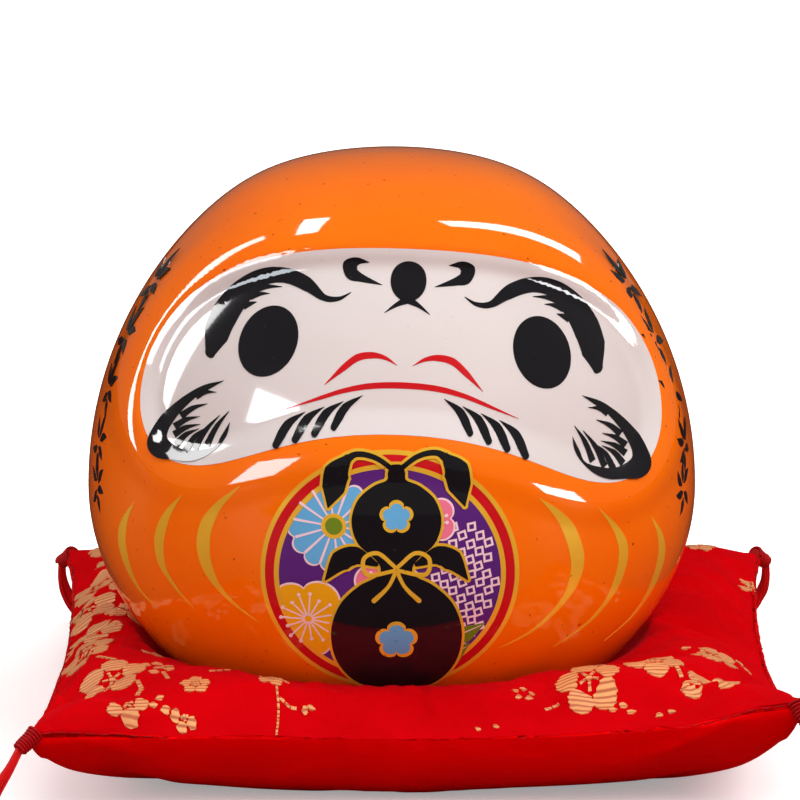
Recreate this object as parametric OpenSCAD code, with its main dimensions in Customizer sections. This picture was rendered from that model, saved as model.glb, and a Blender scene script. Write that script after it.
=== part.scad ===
// Roly-poly good-luck doll of glazed earthenware, made as a money bank, on a
// square satin cushion with a floss tassel at each corner.
// The origin is on the table under the cushion's middle; the face looks along -Y.

/* [Doll] */
// Radius of the doll at its widest
doll_r = 62.5; // [45:0.5:80]
// Height of the doll from its foot to its crown
doll_h = 107; // [95:1:125]
// Height of the widest part above the foot
belly_z = 38; // [32:1:48]
// Thickness of the fired wall
wall = 4; // [3:0.5:6]
// Sideways place of the doll on its cushion
doll_x = -4.7; // [-8:0.1:8]
// Height at which the cushion carries the doll's foot
sit_z = 12.3; // [9:0.1:14]

/* [Face] */
// Width of the face panel
face_w = 105; // [80:1:110]
// Height of the middle line that the face panel is drawn from
face_z = 60; // [55:1:65]
// Rise of the brow above that line
brow_h = 34.5; // [25:0.5:36]
// Drop of the two cheeks below that line
cheek_h = 10; // [6:0.5:14]
// Depth that the face panel is sunk to
face_depth = 3; // [1:0.5:4]
// Lean of the face to the doll's left, in degrees
face_lean = 2.8; // [0:0.1:5]

/* [Money slot] */
// Width of the coin slot in the back
slot_w = 34; // [26:1:38]
// Height of the coin slot
slot_h = 5; // [4.5:0.1:7]
// Height of the slot's middle above the foot
slot_z = 84; // [75:1:90]

/* [Foot and stopper] */
// Width of the unglazed ring that the doll stands on
foot_ring = 6; // [4:0.5:8]
// Depth of the hollow inside the foot ring
foot_recess = 2.5; // [2:0.1:4]
// Radius of the round edge under the doll
foot_round = 2.5; // [1:0.5:4]
// Radius of the hole that empties the bank
hole_r = 14; // [10:0.5:18]
// Width of the stopper's flange outside the hole
flange_lip = 3.5; // [2:0.5:5]
// Thickness of the stopper's flange
flange_t = 2; // [1.4:0.1:2.2]
// Length of the stopper's plug above the floor
plug_over = 1.5; // [0.5:0.5:3]
// Width of the finger bar across the stopper
grip_w = 5; // [3:0.5:8]

/* [Cushion] */
// Width of the cushion from corner to corner along one side
cushion_w = 152; // [140:0.4:190]
// How far each side pulls in between its corners
side_pull = 3.5; // [0:0.5:8]
// Height of the seam above the table
seam_z = 17; // [13:0.5:22]
// Rise of the padding above the seam
crown = 3.5; // [2:0.5:8]
// Extra lift of the front right corner
corner_lift = 6.5; // [0:0.5:10]
// Thickness of each cloth panel
panel_t = 0.8; // [0.5:0.1:1.2]

/* [Tassels] */
// Thickness of the floss
floss_d = 3.2; // [2.4:0.1:4]
// Thickness of the thread binding at the head
tie_d = 3.8; // [2.6:0.1:5]
// How far the thread binding reaches into the cushion's corner
tie_hold = 1.5; // [1:0.1:3]

/* [Hidden] */
$fn = 96;

orange = "darkorange";
red = "crimson";
brocade = "firebrick";

// ---- the doll's turned shape ----------------------------------------------
// The curve of the upper half is a fat ellipse with a flattened crown, and the
// curve of the lower half is cut off by the foot.
crown_share = 0.86;   // share of the upper curve that falls as a square
crown_power = 24;     // sharpness of the turn at the crown
upper_power = 1.75;   // fatness of the upper half
lower_power = 1.5;    // fatness of the lower half
under_depth = belly_z * 1.526;   // depth at which the lower curve would close
seat_gap = 0.4;       // air under the doll, between it and the cloth it sits on
seat_ease = 2;        // room around the doll's foot in the dent of the cushion
fit_gap = 0.05;       // running clearance of the stopper
dig = 1;              // how far a cutter runs past what it cuts
lower_steps = 8;
upper_steps = 18;

// Radius of the doll, shrunk inwards by t, at height z above the foot.
function upper_r(z, t) =
    let (u = (z - belly_z) / (doll_h - t - belly_z))
    (doll_r - t) * pow(max(0, 1 - crown_share * u * u
                              - (1 - crown_share) * pow(u, crown_power)), 1 / upper_power);
function lower_r(z, t) =
    (doll_r - t) * pow(1 - pow((belly_z - z) / under_depth, 2), 1 / lower_power);

// The same curve turned round: height of the doll's underside above the table at
// radius r, without the round edge of the foot.
function under_z(r) =
    sit_z + max(0, belly_z - under_depth * sqrt(max(0, 1 - pow(min(r, doll_r) / doll_r,
                                                            lower_power))));

function side_points(low, t) = concat(
    [for (k = [0:lower_steps - 1])
        let (z = low + (belly_z - low) * k / lower_steps) [lower_r(z, t), z]],
    [for (k = [0:upper_steps])
        let (z = belly_z + (doll_h - t - belly_z) * sin(90 * k / upper_steps))
        [k == upper_steps ? 0 : upper_r(z, t), z]]);

foot_r = lower_r(foot_round, 0);     // outside of the foot above its round edge
flat_r = foot_r - foot_round;        // outside of the flat that the doll stands on
foot_points = [for (a = [0:30:60]) [flat_r + foot_round * sin(a), foot_round * (1 - cos(a))]];
floor_z = foot_recess + wall;        // top of the bank's floor

module doll_solid() {
    rotate_extrude() polygon(concat([[0, 0]], foot_points, side_points(foot_round, 0)));
}

// The doll's outer shape shrunk by t, standing on height low.
module inner_solid(low, t) {
    rotate_extrude() polygon(concat([[0, low]], side_points(low, t)));
}

// ---- the face panel ---------------------------------------------------------
function bezier(p, n) = [for (k = [0:n - 1]) let (t = k / n, u = 1 - t)
    u * u * u * p[0] + 3 * u * u * t * p[1] + 3 * u * t * t * p[2] + t * t * t * p[3]];

// Half of the outline, as shares of the half width and of the two heights.
half_face = [
    [[0, 1], [0.38, 1], [0.63, 0.87], [0.8, 0.64]],
    [[0.8, 0.64], [0.91, 0.48], [1, 0.23], [1, 0]],
    [[1, 0], [1, -0.6], [0.93, -1], [0.84, -1]],
    [[0.84, -1], [0.63, -1], [0.46, 0.035], [0, 0.035]]];
face_steps = 5;
half_points = [for (b = half_face) each bezier(b, face_steps)];

// The outline grown by g on every side, in millimetres about the face's middle line.
function face_outline(g) =
    let (right = [for (p = half_points)
             [p.x * (face_w / 2 + g), p.y * ((p.y > 0 ? brow_h : cheek_h) + g)
                 - (p.x < 0.5 && p.y < 0.5 ? g : 0)]],
         low = [0, half_face[3][3].y * brow_h - g])
    concat(right, [low], [for (k = [len(right) - 1:-1:1]) [-right[k].x, right[k].y]]);

// A bar of that outline, from the doll's middle out through its front.
module face_bar(g) {
    rotate([0, face_lean, 0])
        translate([0, 0, face_z])
            rotate([90, 0, 0])
                linear_extrude(doll_r + dig) polygon(face_outline(g));
}

// What is cut off the front for a panel sunk to the given depth.
module face_cut(g, depth) {
    difference() {
        face_bar(g);
        inner_solid(0, depth);
    }
}

// ---- the doll ---------------------------------------------------------------
module coin_slot() {
    straight = slot_w - slot_h;
    translate([0, 0, slot_z]) rotate([-90, 0, 0]) {
        translate([-straight / 2, -slot_h / 2, 0]) cube([straight, slot_h, doll_r]);
        for (side = [-1, 1])
            translate([side * straight / 2, 0, 0]) cylinder(d = slot_h, h = doll_r, $fn = 48);
    }
}

module doll_shell() {
    color(orange) translate([doll_x, 0, sit_z]) difference() {
        doll_solid();
        face_cut(0, face_depth);
        difference() {
            inner_solid(floor_z, wall);
            face_cut(wall, face_depth + wall);
        }
        coin_slot();
        translate([0, 0, -dig]) cylinder(r = foot_r - foot_ring, h = foot_recess + dig);
        translate([0, 0, -dig]) cylinder(r = hole_r, h = floor_z + 2 * dig);
    }
}

module base_stopper() {
    flange_z = foot_recess - fit_gap - flange_t;
    grip_r = hole_r - 3;
    grip_depth = flange_t * 0.7;
    color("dimgray") translate([doll_x, 0, sit_z + flange_z]) difference() {
        union() {
            cylinder(r = hole_r + flange_lip, h = flange_t);
            cylinder(r = hole_r - fit_gap, h = floor_z + plug_over - flange_z);
        }
        difference() {
            translate([0, 0, -dig]) cylinder(r = grip_r, h = grip_depth + dig);
            translate([-doll_r, -grip_w / 2, -dig]) cube([2 * doll_r, grip_w, doll_r]);
        }
    }
}

// ---- the cushion ------------------------------------------------------------
tip = cushion_w / 2;
spokes = 48;
seat_steps = 5;       // rings under the doll
pad_steps = 6;        // rings from the doll out to the seam
rim_r = flat_r + 9;   // where the padding leaves the doll's side

// Distance of the seam from the middle, at angle a.
function seam_at(a) =
    let (m = max(abs(cos(a)), abs(sin(a))), t = min(abs(cos(a)), abs(sin(a))) / m)
    (tip - side_pull * (1 - t * t)) / m;

// Ring k of the cushion: under the doll the rings are round, and outside it they
// turn from that circle into the outline of the seam.
function pad_share(k) = k <= seat_steps ? 0 : sin(90 * (k - seat_steps) / pad_steps);
flat_steps = 2;       // of them, under the flat of the foot
function seat_radius(k) = k <= flat_steps
    ? flat_r * k / flat_steps
    : flat_r + (rim_r - flat_r) * min(1, (k - flat_steps) / (seat_steps - flat_steps));
function place(k, a) =
    let (way = [cos(a), sin(a)], inner = [doll_x, 0] + seat_radius(k) * way)
    k <= seat_steps ? inner : inner + pad_share(k) * (seam_at(a) * way - inner);

function seam_height(p) =
    seam_z + corner_lift * pow(max(0, p.x) / tip, 2) * pow(max(0, -p.y) / tip, 2);
function top_z(k, p) =
    min(seam_height(p) + panel_t + crown * pow(1 - pow(pad_share(k), 2), 0.8),
        under_z(max(0, norm(p - [doll_x, 0]) - seat_ease)) - seat_gap);
function base_z(k, p) =
    (seam_height(p) - panel_t) * (1 - sqrt(1 - pow(pad_share(k), 1.5)));

// A sheet between two heights over rings 0 to last. over and under pick the
// cloth's outer or inner face: 0 is the outside of the cushion, 1 its inside.
function height(side, inset, k, p) =
    side == "top" ? top_z(k, p) - inset * panel_t : base_z(k, p) + inset * panel_t;

module sheet(last, over, under) {
    rings = [for (face = [over, under]) each [for (k = [1:last]) each
        [for (j = [0:spokes - 1]) let (p = place(k, 360 * j / spokes))
            [p.x, p.y, height(face[0], face[1], k, p)]]]];
    middle = place(0, 0);
    ends = [for (face = [over, under]) [middle.x, middle.y, height(face[0], face[1], 0, middle)]];
    below = last * spokes;
    pole = 2 * below;
    around = [for (j = [0:spokes - 1]) [j, (j + 1) % spokes]];
    caps = [for (s = around) each [[pole, s[1], s[0]], [pole + 1, below + s[0], below + s[1]]]];
    skins = [for (k = [0:last - 2]) each [for (s = around)
        let (a = k * spokes + s[0], b = k * spokes + s[1], c = b + spokes, d = a + spokes)
        each [[a, b, c], [a, c, d], [below + a, below + c, below + b],
              [below + a, below + d, below + c]]]];
    edge = (last - 1) * spokes;
    rim = [for (s = around) let (a = edge + s[0], b = edge + s[1])
        each [[a, b, below + b], [a, below + b, below + a]]];
    polyhedron(concat(rings, ends), concat(caps, skins, rim), convexity = 6);
}

all_rings = seat_steps + pad_steps;
module cushion_top() { color(brocade) sheet(all_rings, ["top", 0], ["top", 1]); }
module cushion_base() { color(red) sheet(all_rings, ["base", 1], ["base", 0]); }
module cushion_filling() { color("white") sheet(all_rings - 1, ["top", 1], ["base", 1]); }

// ---- the tassels ------------------------------------------------------------
// A route gives, past its corner and outwards, each point's place sideways and
// along, and its height above the table. It starts where the binding ends and
// stops where the floss is cut.
front_left_lie = [[1.5, 1.5, 14.5], [3.5, 3.5, 11], [6, 5.5, 7.5], [8.5, 8, 4],
                  [11.5, 10, 2], [15, 9.5, 1.7], [17, 6, 1.7], [17.5, 2, 1.7],
                  [17.5, -2, 1.7]];
front_right_lie = [[1, 1.5, 19.5], [2, 3, 15], [3, 4.5, 10.5], [4.5, 5.5, 6],
                   [7, 6, 2.5], [11, 5, 1.7], [13.5, 2, 1.7], [14.5, -2, 1.7],
                   [14.5, -5.5, 1.7]];
back_lie = [[1, 1.5, 14.5], [1, 3, 10.5], [0, 4.5, 6.5], [-2.5, 5, 3],
            [-6, 5, 1.7], [-10, 4.5, 1.7], [-14, 4, 1.7], [-18, 4, 1.7], [-22, 4, 1.7]];
function route(lie, side, end) =
    [for (p = lie) [side * (tip + p.x), end * (tip + p.y), p.z]];
front_left = route(front_left_lie, -1, -1);
front_right = route(front_right_lie, 1, -1);
back_left = route(back_lie, -1, 1);
back_right = route(back_lie, 1, 1);
floss_sides = 8;

function unit(v) = v / norm(v);

// A round tube along the points of a route.
module tube(route, d) {
    last = len(route) - 1;
    rings = [for (k = [0:last])
        let (way = unit(route[min(k + 1, last)] - route[max(k - 1, 0)]),
             side = unit(cross(way, [0.2, 0.3, 1])), up = cross(side, way))
        each [for (j = [0:floss_sides - 1]) let (a = 360 * j / floss_sides)
            route[k] + d / 2 * (cos(a) * side + sin(a) * up)]];
    ends = [[for (j = [0:floss_sides - 1]) j],
            [for (j = [floss_sides - 1:-1:0]) last * floss_sides + j]];
    walls = [for (k = [0:last - 1]) each [for (j = [0:floss_sides - 1])
        let (a = k * floss_sides + j, b = k * floss_sides + (j + 1) % floss_sides,
             c = b + floss_sides, e = a + floss_sides)
        each [[a, c, b], [a, e, c]]]];
    polyhedron(rings, concat(ends, walls), convexity = 6);
}

// The thread binding: a drum from inside the cushion's corner to the floss.
module tie(route, side, end) {
    corner = (tip - tie_hold) * [side, end];
    root = [corner.x, corner.y, seam_height(corner)];
    way = unit(route[0] - root);
    turn = [0, acos(way.z), atan2(way.y, way.x)];
    translate(root) rotate(turn)
        cylinder(d = tie_d, h = norm(route[0] - root), $fn = 32);
}

module tassel_tie_front_left() { color(red) tie(front_left, -1, -1); }
module tassel_tie_front_right() { color(red) tie(front_right, 1, -1); }
module tassel_tie_back_left() { color(red) tie(back_left, -1, 1); }
module tassel_tie_back_right() { color(red) tie(back_right, 1, 1); }
module tassel_floss_front_left() { color(red) tube(front_left, floss_d); }
module tassel_floss_front_right() { color(red) tube(front_right, floss_d); }
module tassel_floss_back_left() { color(red) tube(back_left, floss_d); }
module tassel_floss_back_right() { color(red) tube(back_right, floss_d); }

doll_shell();
base_stopper();
cushion_top();
cushion_base();
cushion_filling();
tassel_tie_front_left();
tassel_tie_front_right();
tassel_tie_back_left();
tassel_tie_back_right();
tassel_floss_front_left();
tassel_floss_front_right();
tassel_floss_back_left();
tassel_floss_back_right();
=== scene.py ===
# %% [markdown]
# # A roly-poly daruma money bank on its satin cushion
# The doll is one hollow casting of glazed earthenware, sitting on a small square cushion with a
# floss tassel at each corner. The frame holds the exact places of the parts; every look is made
# here, piece by piece, in the order in which the real thing is put together.

# %% Tools and the frame
import math

import bmesh
import bpy
import numpy as np
from mathutils import Matrix, Vector, noise
from mathutils.bvhtree import BVHTree


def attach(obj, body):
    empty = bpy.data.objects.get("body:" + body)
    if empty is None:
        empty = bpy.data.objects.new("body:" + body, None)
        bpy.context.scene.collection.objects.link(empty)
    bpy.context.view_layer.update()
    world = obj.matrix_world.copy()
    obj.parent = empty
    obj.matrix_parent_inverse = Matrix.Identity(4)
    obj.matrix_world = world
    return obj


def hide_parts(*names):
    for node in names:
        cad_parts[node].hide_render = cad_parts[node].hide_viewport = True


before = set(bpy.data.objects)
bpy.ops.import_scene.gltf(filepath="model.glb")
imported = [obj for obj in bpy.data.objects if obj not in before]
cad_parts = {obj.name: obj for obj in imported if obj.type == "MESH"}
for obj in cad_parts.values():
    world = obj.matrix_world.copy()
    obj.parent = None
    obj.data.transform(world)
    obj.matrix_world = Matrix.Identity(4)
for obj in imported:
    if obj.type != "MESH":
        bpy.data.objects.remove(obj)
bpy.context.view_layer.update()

# %% [markdown]
# ## The view and the light
# A long lens a little above the table sees the doll without distortion. Glaze shows every lamp,
# so each lamp is a soft box with one job. Three wide ones light the colours and stay out of the
# glaze. A window on each side, a strip behind each cheek and one overhead only shine in it. The
# paper sweep under the cushion is white and runs out of sight. To the eye it glows with painted
# light, which is dimmer near the cushion.

# %% Camera
camera = bpy.data.objects.new("camera", bpy.data.cameras.new("camera"))
camera.data.lens = 295.5
camera.data.sensor_width = 36
camera.data.clip_end = 20
camera.location = (-0.003, -1.319, 0.3553)
camera.rotation_euler = (math.radians(90 - 12.3), 0, 0)
bpy.context.collection.objects.link(camera)
bpy.context.scene.camera = camera
bpy.context.scene.view_settings.view_transform = "Standard"


# %% Lamps
def softbox(name, azimuth, elevation, distance, width, height, power, job, tint=(1, 1, 1)):
    """A glowing panel that faces the doll. Azimuth 0 is in front and 90 at the right."""
    turn = math.radians(azimuth)
    rise = math.radians(elevation)
    middle = Vector((-0.005, 0, 0.065))
    way = Vector((math.sin(turn) * math.cos(rise), -math.cos(turn) * math.cos(rise), math.sin(rise)))
    lamp = bpy.data.lights.new(name, "AREA")
    lamp.shape = "RECTANGLE"
    lamp.size = width
    lamp.size_y = height
    lamp.energy = power
    lamp.color = tint
    box = bpy.data.objects.new(name, lamp)
    box.location = middle + way * distance
    box.rotation_euler = (-way).to_track_quat("-Z", "Y").to_euler()
    box.visible_glossy = job == "shine"
    box.visible_diffuse = job == "matt"
    bpy.context.collection.objects.link(box)


softbox("key", 54, 44, 1.3, 0.7, 0.7, 9.0, "matt")
softbox("top", 0, 82, 1.3, 0.8, 0.6, 2.6, "matt")
softbox("fill", -56, 24, 1.3, 0.8, 0.6, 3.6, "matt")
softbox("left_window", -52, 16, 1.0, 0.36, 0.42, 5.4, "shine", (0.86, 0.93, 1.0))
softbox("left_rim_strip", -108, 26, 1.0, 0.12, 0.85, 3.2, "shine")
softbox("right_window", 66, 5, 1.0, 0.34, 0.20, 3.6, "shine")
softbox("right_strip", 124, 50, 1.0, 0.16, 0.80, 4.8, "shine")
softbox("overhead", -112, 64, 1.0, 0.42, 0.13, 2.8, "shine")

# %% Colour and node helpers
def srgb(red, green, blue):
    """A screen colour, 0 to 255, as the linear colour that a finish takes."""
    shares = [v / 255 for v in (red, green, blue)]
    linear = [v / 12.92 if v <= 0.04045 else ((v + 0.055) / 1.055) ** 2.4 for v in shares]
    return (linear[0], linear[1], linear[2], 1.0)


def effect_group(name, colors, numbers):
    """An empty shared effect with these inputs, which gives Color, Roughness and Height."""
    tree = bpy.data.node_groups.new(name, "ShaderNodeTree")
    for label, value in {**colors, **numbers}.items():
        kind = "NodeSocketColor" if label in colors else "NodeSocketFloat"
        socket = tree.interface.new_socket(label, in_out="INPUT", socket_type=kind)
        socket.default_value = value
    for label, kind in (("Color", "Color"), ("Roughness", "Float"), ("Height", "Float")):
        tree.interface.new_socket(label, in_out="OUTPUT", socket_type="NodeSocket" + kind)
    return tree, tree.nodes.new("NodeGroupInput").outputs, tree.nodes.new("NodeGroupOutput").inputs


def feed(tree, socket, value):
    """Gives a socket another socket's value, or a number or colour of its own."""
    if isinstance(value, bpy.types.NodeSocket):
        tree.links.new(value, socket)
    else:
        socket.default_value = value


def maths(tree, operation, *values):
    """One step of arithmetic on sockets or numbers."""
    node = tree.nodes.new("ShaderNodeMath")
    node.operation = operation
    for socket, value in zip(node.inputs, values):
        feed(tree, socket, value)
    return node.outputs[0]


def place_in(tree):
    """The place on the object, in metres."""
    return tree.nodes.new("ShaderNodeTexCoord").outputs["Object"]


def noise_node(tree, scale, detail=3.0, where=None):
    """A cloudy pattern, by default on the object's own coordinates in metres."""
    cloud = tree.nodes.new("ShaderNodeTexNoise")
    cloud.inputs["Scale"].default_value = scale
    cloud.inputs["Detail"].default_value = detail
    tree.links.new(where or place_in(tree), cloud.inputs["Vector"])
    return cloud.outputs["Fac"]


def ramp(tree, value, low, high, low_out=0.0, high_out=1.0):
    """Turns low..high into low_out..high_out, and holds outside it."""
    node = tree.nodes.new("ShaderNodeMapRange")
    node.inputs["From Min"].default_value = low
    node.inputs["From Max"].default_value = high
    node.inputs["To Min"].default_value = low_out
    node.inputs["To Max"].default_value = high_out
    tree.links.new(value, node.inputs["Value"])
    return node.outputs["Result"]


def mix(tree, share, first, second):
    """Mixes two colours. Each is a socket or a colour, and the share is a socket or a number."""
    node = tree.nodes.new("ShaderNodeMix")
    node.data_type = "RGBA"
    feed(tree, node.inputs["Factor"], share)
    for key, value in (("A", first), ("B", second)):
        feed(tree, [s for s in node.inputs if s.name == key and s.type == "RGBA"][0], value)
    return [s for s in node.outputs if s.type == "RGBA"][0]


# %% Room: bright paper for the eye, a dim room for the glaze to mirror
world = bpy.data.worlds.new("studio")
bpy.context.scene.world = world
world.use_nodes = True
sky = world.node_tree
sky.nodes.clear()


def backdrop(color, strength):
    """Light of one colour from all round."""
    node = sky.nodes.new("ShaderNodeBackground")
    node.inputs["Color"].default_value = color
    feed(sky, node.inputs["Strength"], strength)
    return node.outputs[0]


def where_ray(ray, other, chosen):
    """One light for the rays of a kind and another for the rest."""
    node = sky.nodes.new("ShaderNodeMixShader")
    for socket, value in zip(node.inputs, (rays.outputs[ray], other, chosen)):
        sky.links.new(value, socket)
    return node.outputs[0]


rays = sky.nodes.new("ShaderNodeLightPath")
sky_way = sky.nodes.new("ShaderNodeSeparateXYZ")
sky.links.new(sky.nodes.new("ShaderNodeTexCoord").outputs["Generated"], sky_way.inputs[0])
room_soft = backdrop((1, 1, 1, 1), ramp(sky, sky_way.outputs["Z"], -0.1, 0.7, 0.33, 0.64))
room_dim = backdrop((1, 0.9, 0.8, 1), 0.13)
paper_white = backdrop((1, 1, 1, 1), 1.0)
for_glaze = where_ray("Is Glossy Ray", room_soft, room_dim)
for_eye = where_ray("Is Camera Ray", for_glaze, paper_white)
sky.links.new(for_eye, sky.nodes.new("ShaderNodeOutputWorld").inputs["Surface"])
print("lamps:", len(bpy.data.lights))


# %% [markdown]
# ## Finishes
# Each finish is a small recipe. Effects that several finishes share (the life in a glaze and the
# grain of woven satin) are groups, so that they are tuned in one place.

# %% Shared effect: the life in a fired glaze
glaze_life, glaze_in, glaze_out = effect_group(
    "glaze_life",
    {"Color": (0.8, 0.8, 0.8, 1), "Pooled": (0.5, 0.5, 0.5, 1), "Speck": (0.1, 0.05, 0.02, 1)},
    {"Roughness": 0.06},
)
pools = ramp(glaze_life, noise_node(glaze_life, 38, 2), 0.35, 0.7, 0.0, 0.35)
specks = ramp(glaze_life, noise_node(glaze_life, 900, 1), 0.755, 0.79)
smears = ramp(glaze_life, noise_node(glaze_life, 22, 4), 0.4, 0.75, 0.0, 0.05)
toned = mix(glaze_life, pools, glaze_in["Color"], glaze_in["Pooled"])
feed(glaze_life, glaze_out["Color"], mix(glaze_life, specks, toned, glaze_in["Speck"]))
feed(glaze_life, glaze_out["Roughness"], maths(glaze_life, "ADD", glaze_in["Roughness"], smears))
feed(glaze_life, glaze_out["Height"], noise_node(glaze_life, 130, 2))

# %% Shared effect: satin weave, its fine threads and its soft wear
satin_weave, satin_in, satin_out = effect_group(
    "satin_weave",
    {"Color": (0.6, 0.0, 0.0, 1), "Shade": (0.3, 0.0, 0.0, 1)},
    {"Roughness": 0.4, "Threads": 2200.0, "Stripes": 0.0},
)
satin_place = place_in(satin_weave)
woven = satin_weave.nodes.new("ShaderNodeTexWave")
woven.bands_direction = "Y"
woven.inputs["Distortion"].default_value = 0.6
feed(satin_weave, woven.inputs["Vector"], satin_place)
feed(satin_weave, woven.inputs["Scale"], satin_in["Threads"])
thread_lines = woven.outputs["Fac"]
worn = ramp(satin_weave, noise_node(satin_weave, 60, 4, satin_place), 0.35, 0.75, 0.0, 0.45)
fine_cloud = noise_node(satin_weave, 1400, 2, satin_place)
satin_tone = mix(satin_weave, worn, satin_in["Color"], satin_in["Shade"])
between = ramp(satin_weave, thread_lines, 0.15, 0.55, 1.0, 0.0)
shown = maths(satin_weave, "MULTIPLY", between, satin_in["Stripes"])
uneven = ramp(satin_weave, fine_cloud, 0.3, 0.7, -0.06, 0.10)
feed(satin_weave, satin_out["Color"], mix(satin_weave, shown, satin_tone, satin_in["Shade"]))
feed(satin_weave, satin_out["Roughness"], maths(satin_weave, "ADD", satin_in["Roughness"], uneven))
feed(satin_weave, satin_out["Height"],
     maths(satin_weave, "MULTIPLY_ADD", thread_lines, 0.5, fine_cloud))


# %% Finish makers
def finish(name, effect, values, bump=0.0, bump_depth=0.0001, **settings):
    """A finish: one shared effect feeding one surface. settings name the surface's own inputs."""
    made = bpy.data.materials.new(name)
    made.use_nodes = True
    tree = made.node_tree
    surface = tree.nodes["Principled BSDF"]
    group = tree.nodes.new("ShaderNodeGroup")
    group.node_tree = effect
    for label, value in values.items():
        group.inputs[label].default_value = value
    tree.links.new(group.outputs["Color"], surface.inputs["Base Color"])
    tree.links.new(group.outputs["Roughness"], surface.inputs["Roughness"])
    if bump:
        dents = tree.nodes.new("ShaderNodeBump")
        dents.inputs["Strength"].default_value = bump
        dents.inputs["Distance"].default_value = bump_depth
        tree.links.new(group.outputs["Height"], dents.inputs["Height"])
        tree.links.new(dents.outputs["Normal"], surface.inputs["Normal"])
    for label, value in settings.items():
        surface.inputs[label.replace("_", " ")].default_value = value
    made.diffuse_color = surface.inputs["Base Color"].default_value
    return made


def glaze(name, color, pooled, roughness=0.05, speck=None, bump=0.15, **settings):
    """A fired colour under a clear shine."""
    values = {"Color": color, "Pooled": pooled, "Speck": speck or pooled, "Roughness": roughness}
    return finish(name, glaze_life, values, bump, 0.00008, **settings)


def satin(name, color, shade, roughness, threads=2200.0, stripes=0.0, bump=0.35, **settings):
    """Woven silk-like cloth with a soft sheen. Stripes show the shade between its threads."""
    values = {"Color": color, "Shade": shade, "Roughness": roughness, "Threads": threads,
              "Stripes": stripes}
    return finish(name, satin_weave, values, bump, 0.00006, **settings)


white_glaze = glaze("white_glaze", srgb(224, 214, 211), srgb(214, 203, 200), 0.06,
                    speck=srgb(216, 203, 199), Coat_Weight=0.4, Coat_Roughness=0.02)
black_enamel = glaze("black_enamel", srgb(20, 20, 24), srgb(30, 28, 34), 0.06,
                     speck=srgb(45, 42, 48), Coat_Weight=0.3)
red_enamel = glaze("red_enamel", srgb(205, 22, 30), srgb(180, 14, 24), 0.08)
purple_enamel = glaze("purple_enamel", srgb(93, 40, 124), srgb(76, 30, 108), 0.08)
blue_enamel = glaze("blue_enamel", srgb(104, 178, 226), srgb(76, 150, 210), 0.08)
yellow_enamel = glaze("yellow_enamel", srgb(244, 176, 20), srgb(232, 150, 10), 0.08)
pink_enamel = glaze("pink_enamel", srgb(240, 122, 150), srgb(228, 98, 132), 0.08)
pale_enamel = glaze("pale_enamel", srgb(248, 214, 222), srgb(240, 196, 208), 0.08)
green_enamel = glaze("green_enamel", srgb(112, 138, 36), srgb(84, 112, 24), 0.08)
gold_lustre = glaze("gold_lustre", srgb(255, 200, 58), srgb(236, 160, 24), 0.18,
                    speck=srgb(160, 92, 10), Metallic=0.25)
cushion_satin = satin("cushion_satin", srgb(238, 0, 3), srgb(206, 0, 2), 0.36,
                      Specular_IOR_Level=0.05, Metallic=0.25, Specular_Tint=(1.0, 0.12, 0.12, 1))
brocade_satin = satin("brocade_satin", srgb(206, 3, 11), srgb(160, 0, 6), 0.5,
                      Specular_IOR_Level=0.0, Sheen_Weight=0.2, Sheen_Roughness=0.35,
                      Sheen_Tint=(1.0, 0.05, 0.07, 1))
brocade_gold = satin("brocade_gold", srgb(240, 172, 108), srgb(176, 62, 34), 0.42,
                     threads=270.0, stripes=0.75, bump=0.9, Specular_IOR_Level=0.3,
                     Sheen_Weight=0.15, Sheen_Tint=(1.0, 0.6, 0.3, 1))
tassel_floss = satin("tassel_floss", srgb(216, 6, 10), srgb(166, 2, 6), 0.42,
                     Specular_IOR_Level=0.1, Sheen_Weight=0.2, Sheen_Tint=(1.0, 0.1, 0.1, 1))
sewing_thread = satin("sewing_thread", srgb(176, 0, 6), srgb(130, 0, 4), 0.6,
                      Specular_IOR_Level=0.1)
wadding_white = satin("wadding_white", srgb(236, 232, 224), srgb(214, 208, 198), 0.95, bump=1.0)
print("finishes:", len(bpy.data.materials))

# %% Orange glaze, which leaves the foot ring bare
orange_glaze = glaze("orange_glaze", srgb(255, 118, 1), srgb(250, 98, 1), 0.05,
                     speck=srgb(150, 60, 10), Coat_Weight=0.5, Coat_Roughness=0.015)
shell_tree = orange_glaze.node_tree
shell_surface = shell_tree.nodes["Principled BSDF"]
shell_group = [n for n in shell_tree.nodes if n.type == "GROUP"][0]
shell_place = shell_tree.nodes.new("ShaderNodeSeparateXYZ")
feed(shell_tree, shell_place.inputs[0], place_in(shell_tree))
bare_clay = ramp(shell_tree, shell_place.outputs["Z"], 0.0133, 0.0139, 1.0, 0.0)
fired_color = mix(shell_tree, bare_clay, shell_group.outputs["Color"], srgb(226, 200, 178))
dry_clay = maths(shell_tree, "MAXIMUM", shell_group.outputs["Roughness"], bare_clay)
feed(shell_tree, shell_surface.inputs["Base Color"], fired_color)
feed(shell_tree, shell_surface.inputs["Roughness"], dry_clay)
feed(shell_tree, shell_surface.inputs["Coat Weight"], ramp(shell_tree, bare_clay, 0.0, 1.0, 0.5, 0.0))

# %% [markdown]
# ## Helpers for making pieces
# All the measures below are in millimetres. The doll has its own frame: its axis is x = 0 and
# its foot stands on z = 0, and it sits a little left of the middle, on the cushion.

# %% Places and piece makers
DOLL_X = -4.7
SIT_Z = 12.3
WALL = 4.0
SLOT_Z = 84.0
SLOT_HALF = 14.5
LIP = 2.5
FOOT_EDGE = 2.5
HOLE_R = 14.0
FLOOR_Z = 6.5


def smooth(value):
    """0 below 0, 1 above 1, and a soft step between."""
    value = np.clip(value, 0, 1)
    return value * value * (3 - 2 * value)


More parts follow.
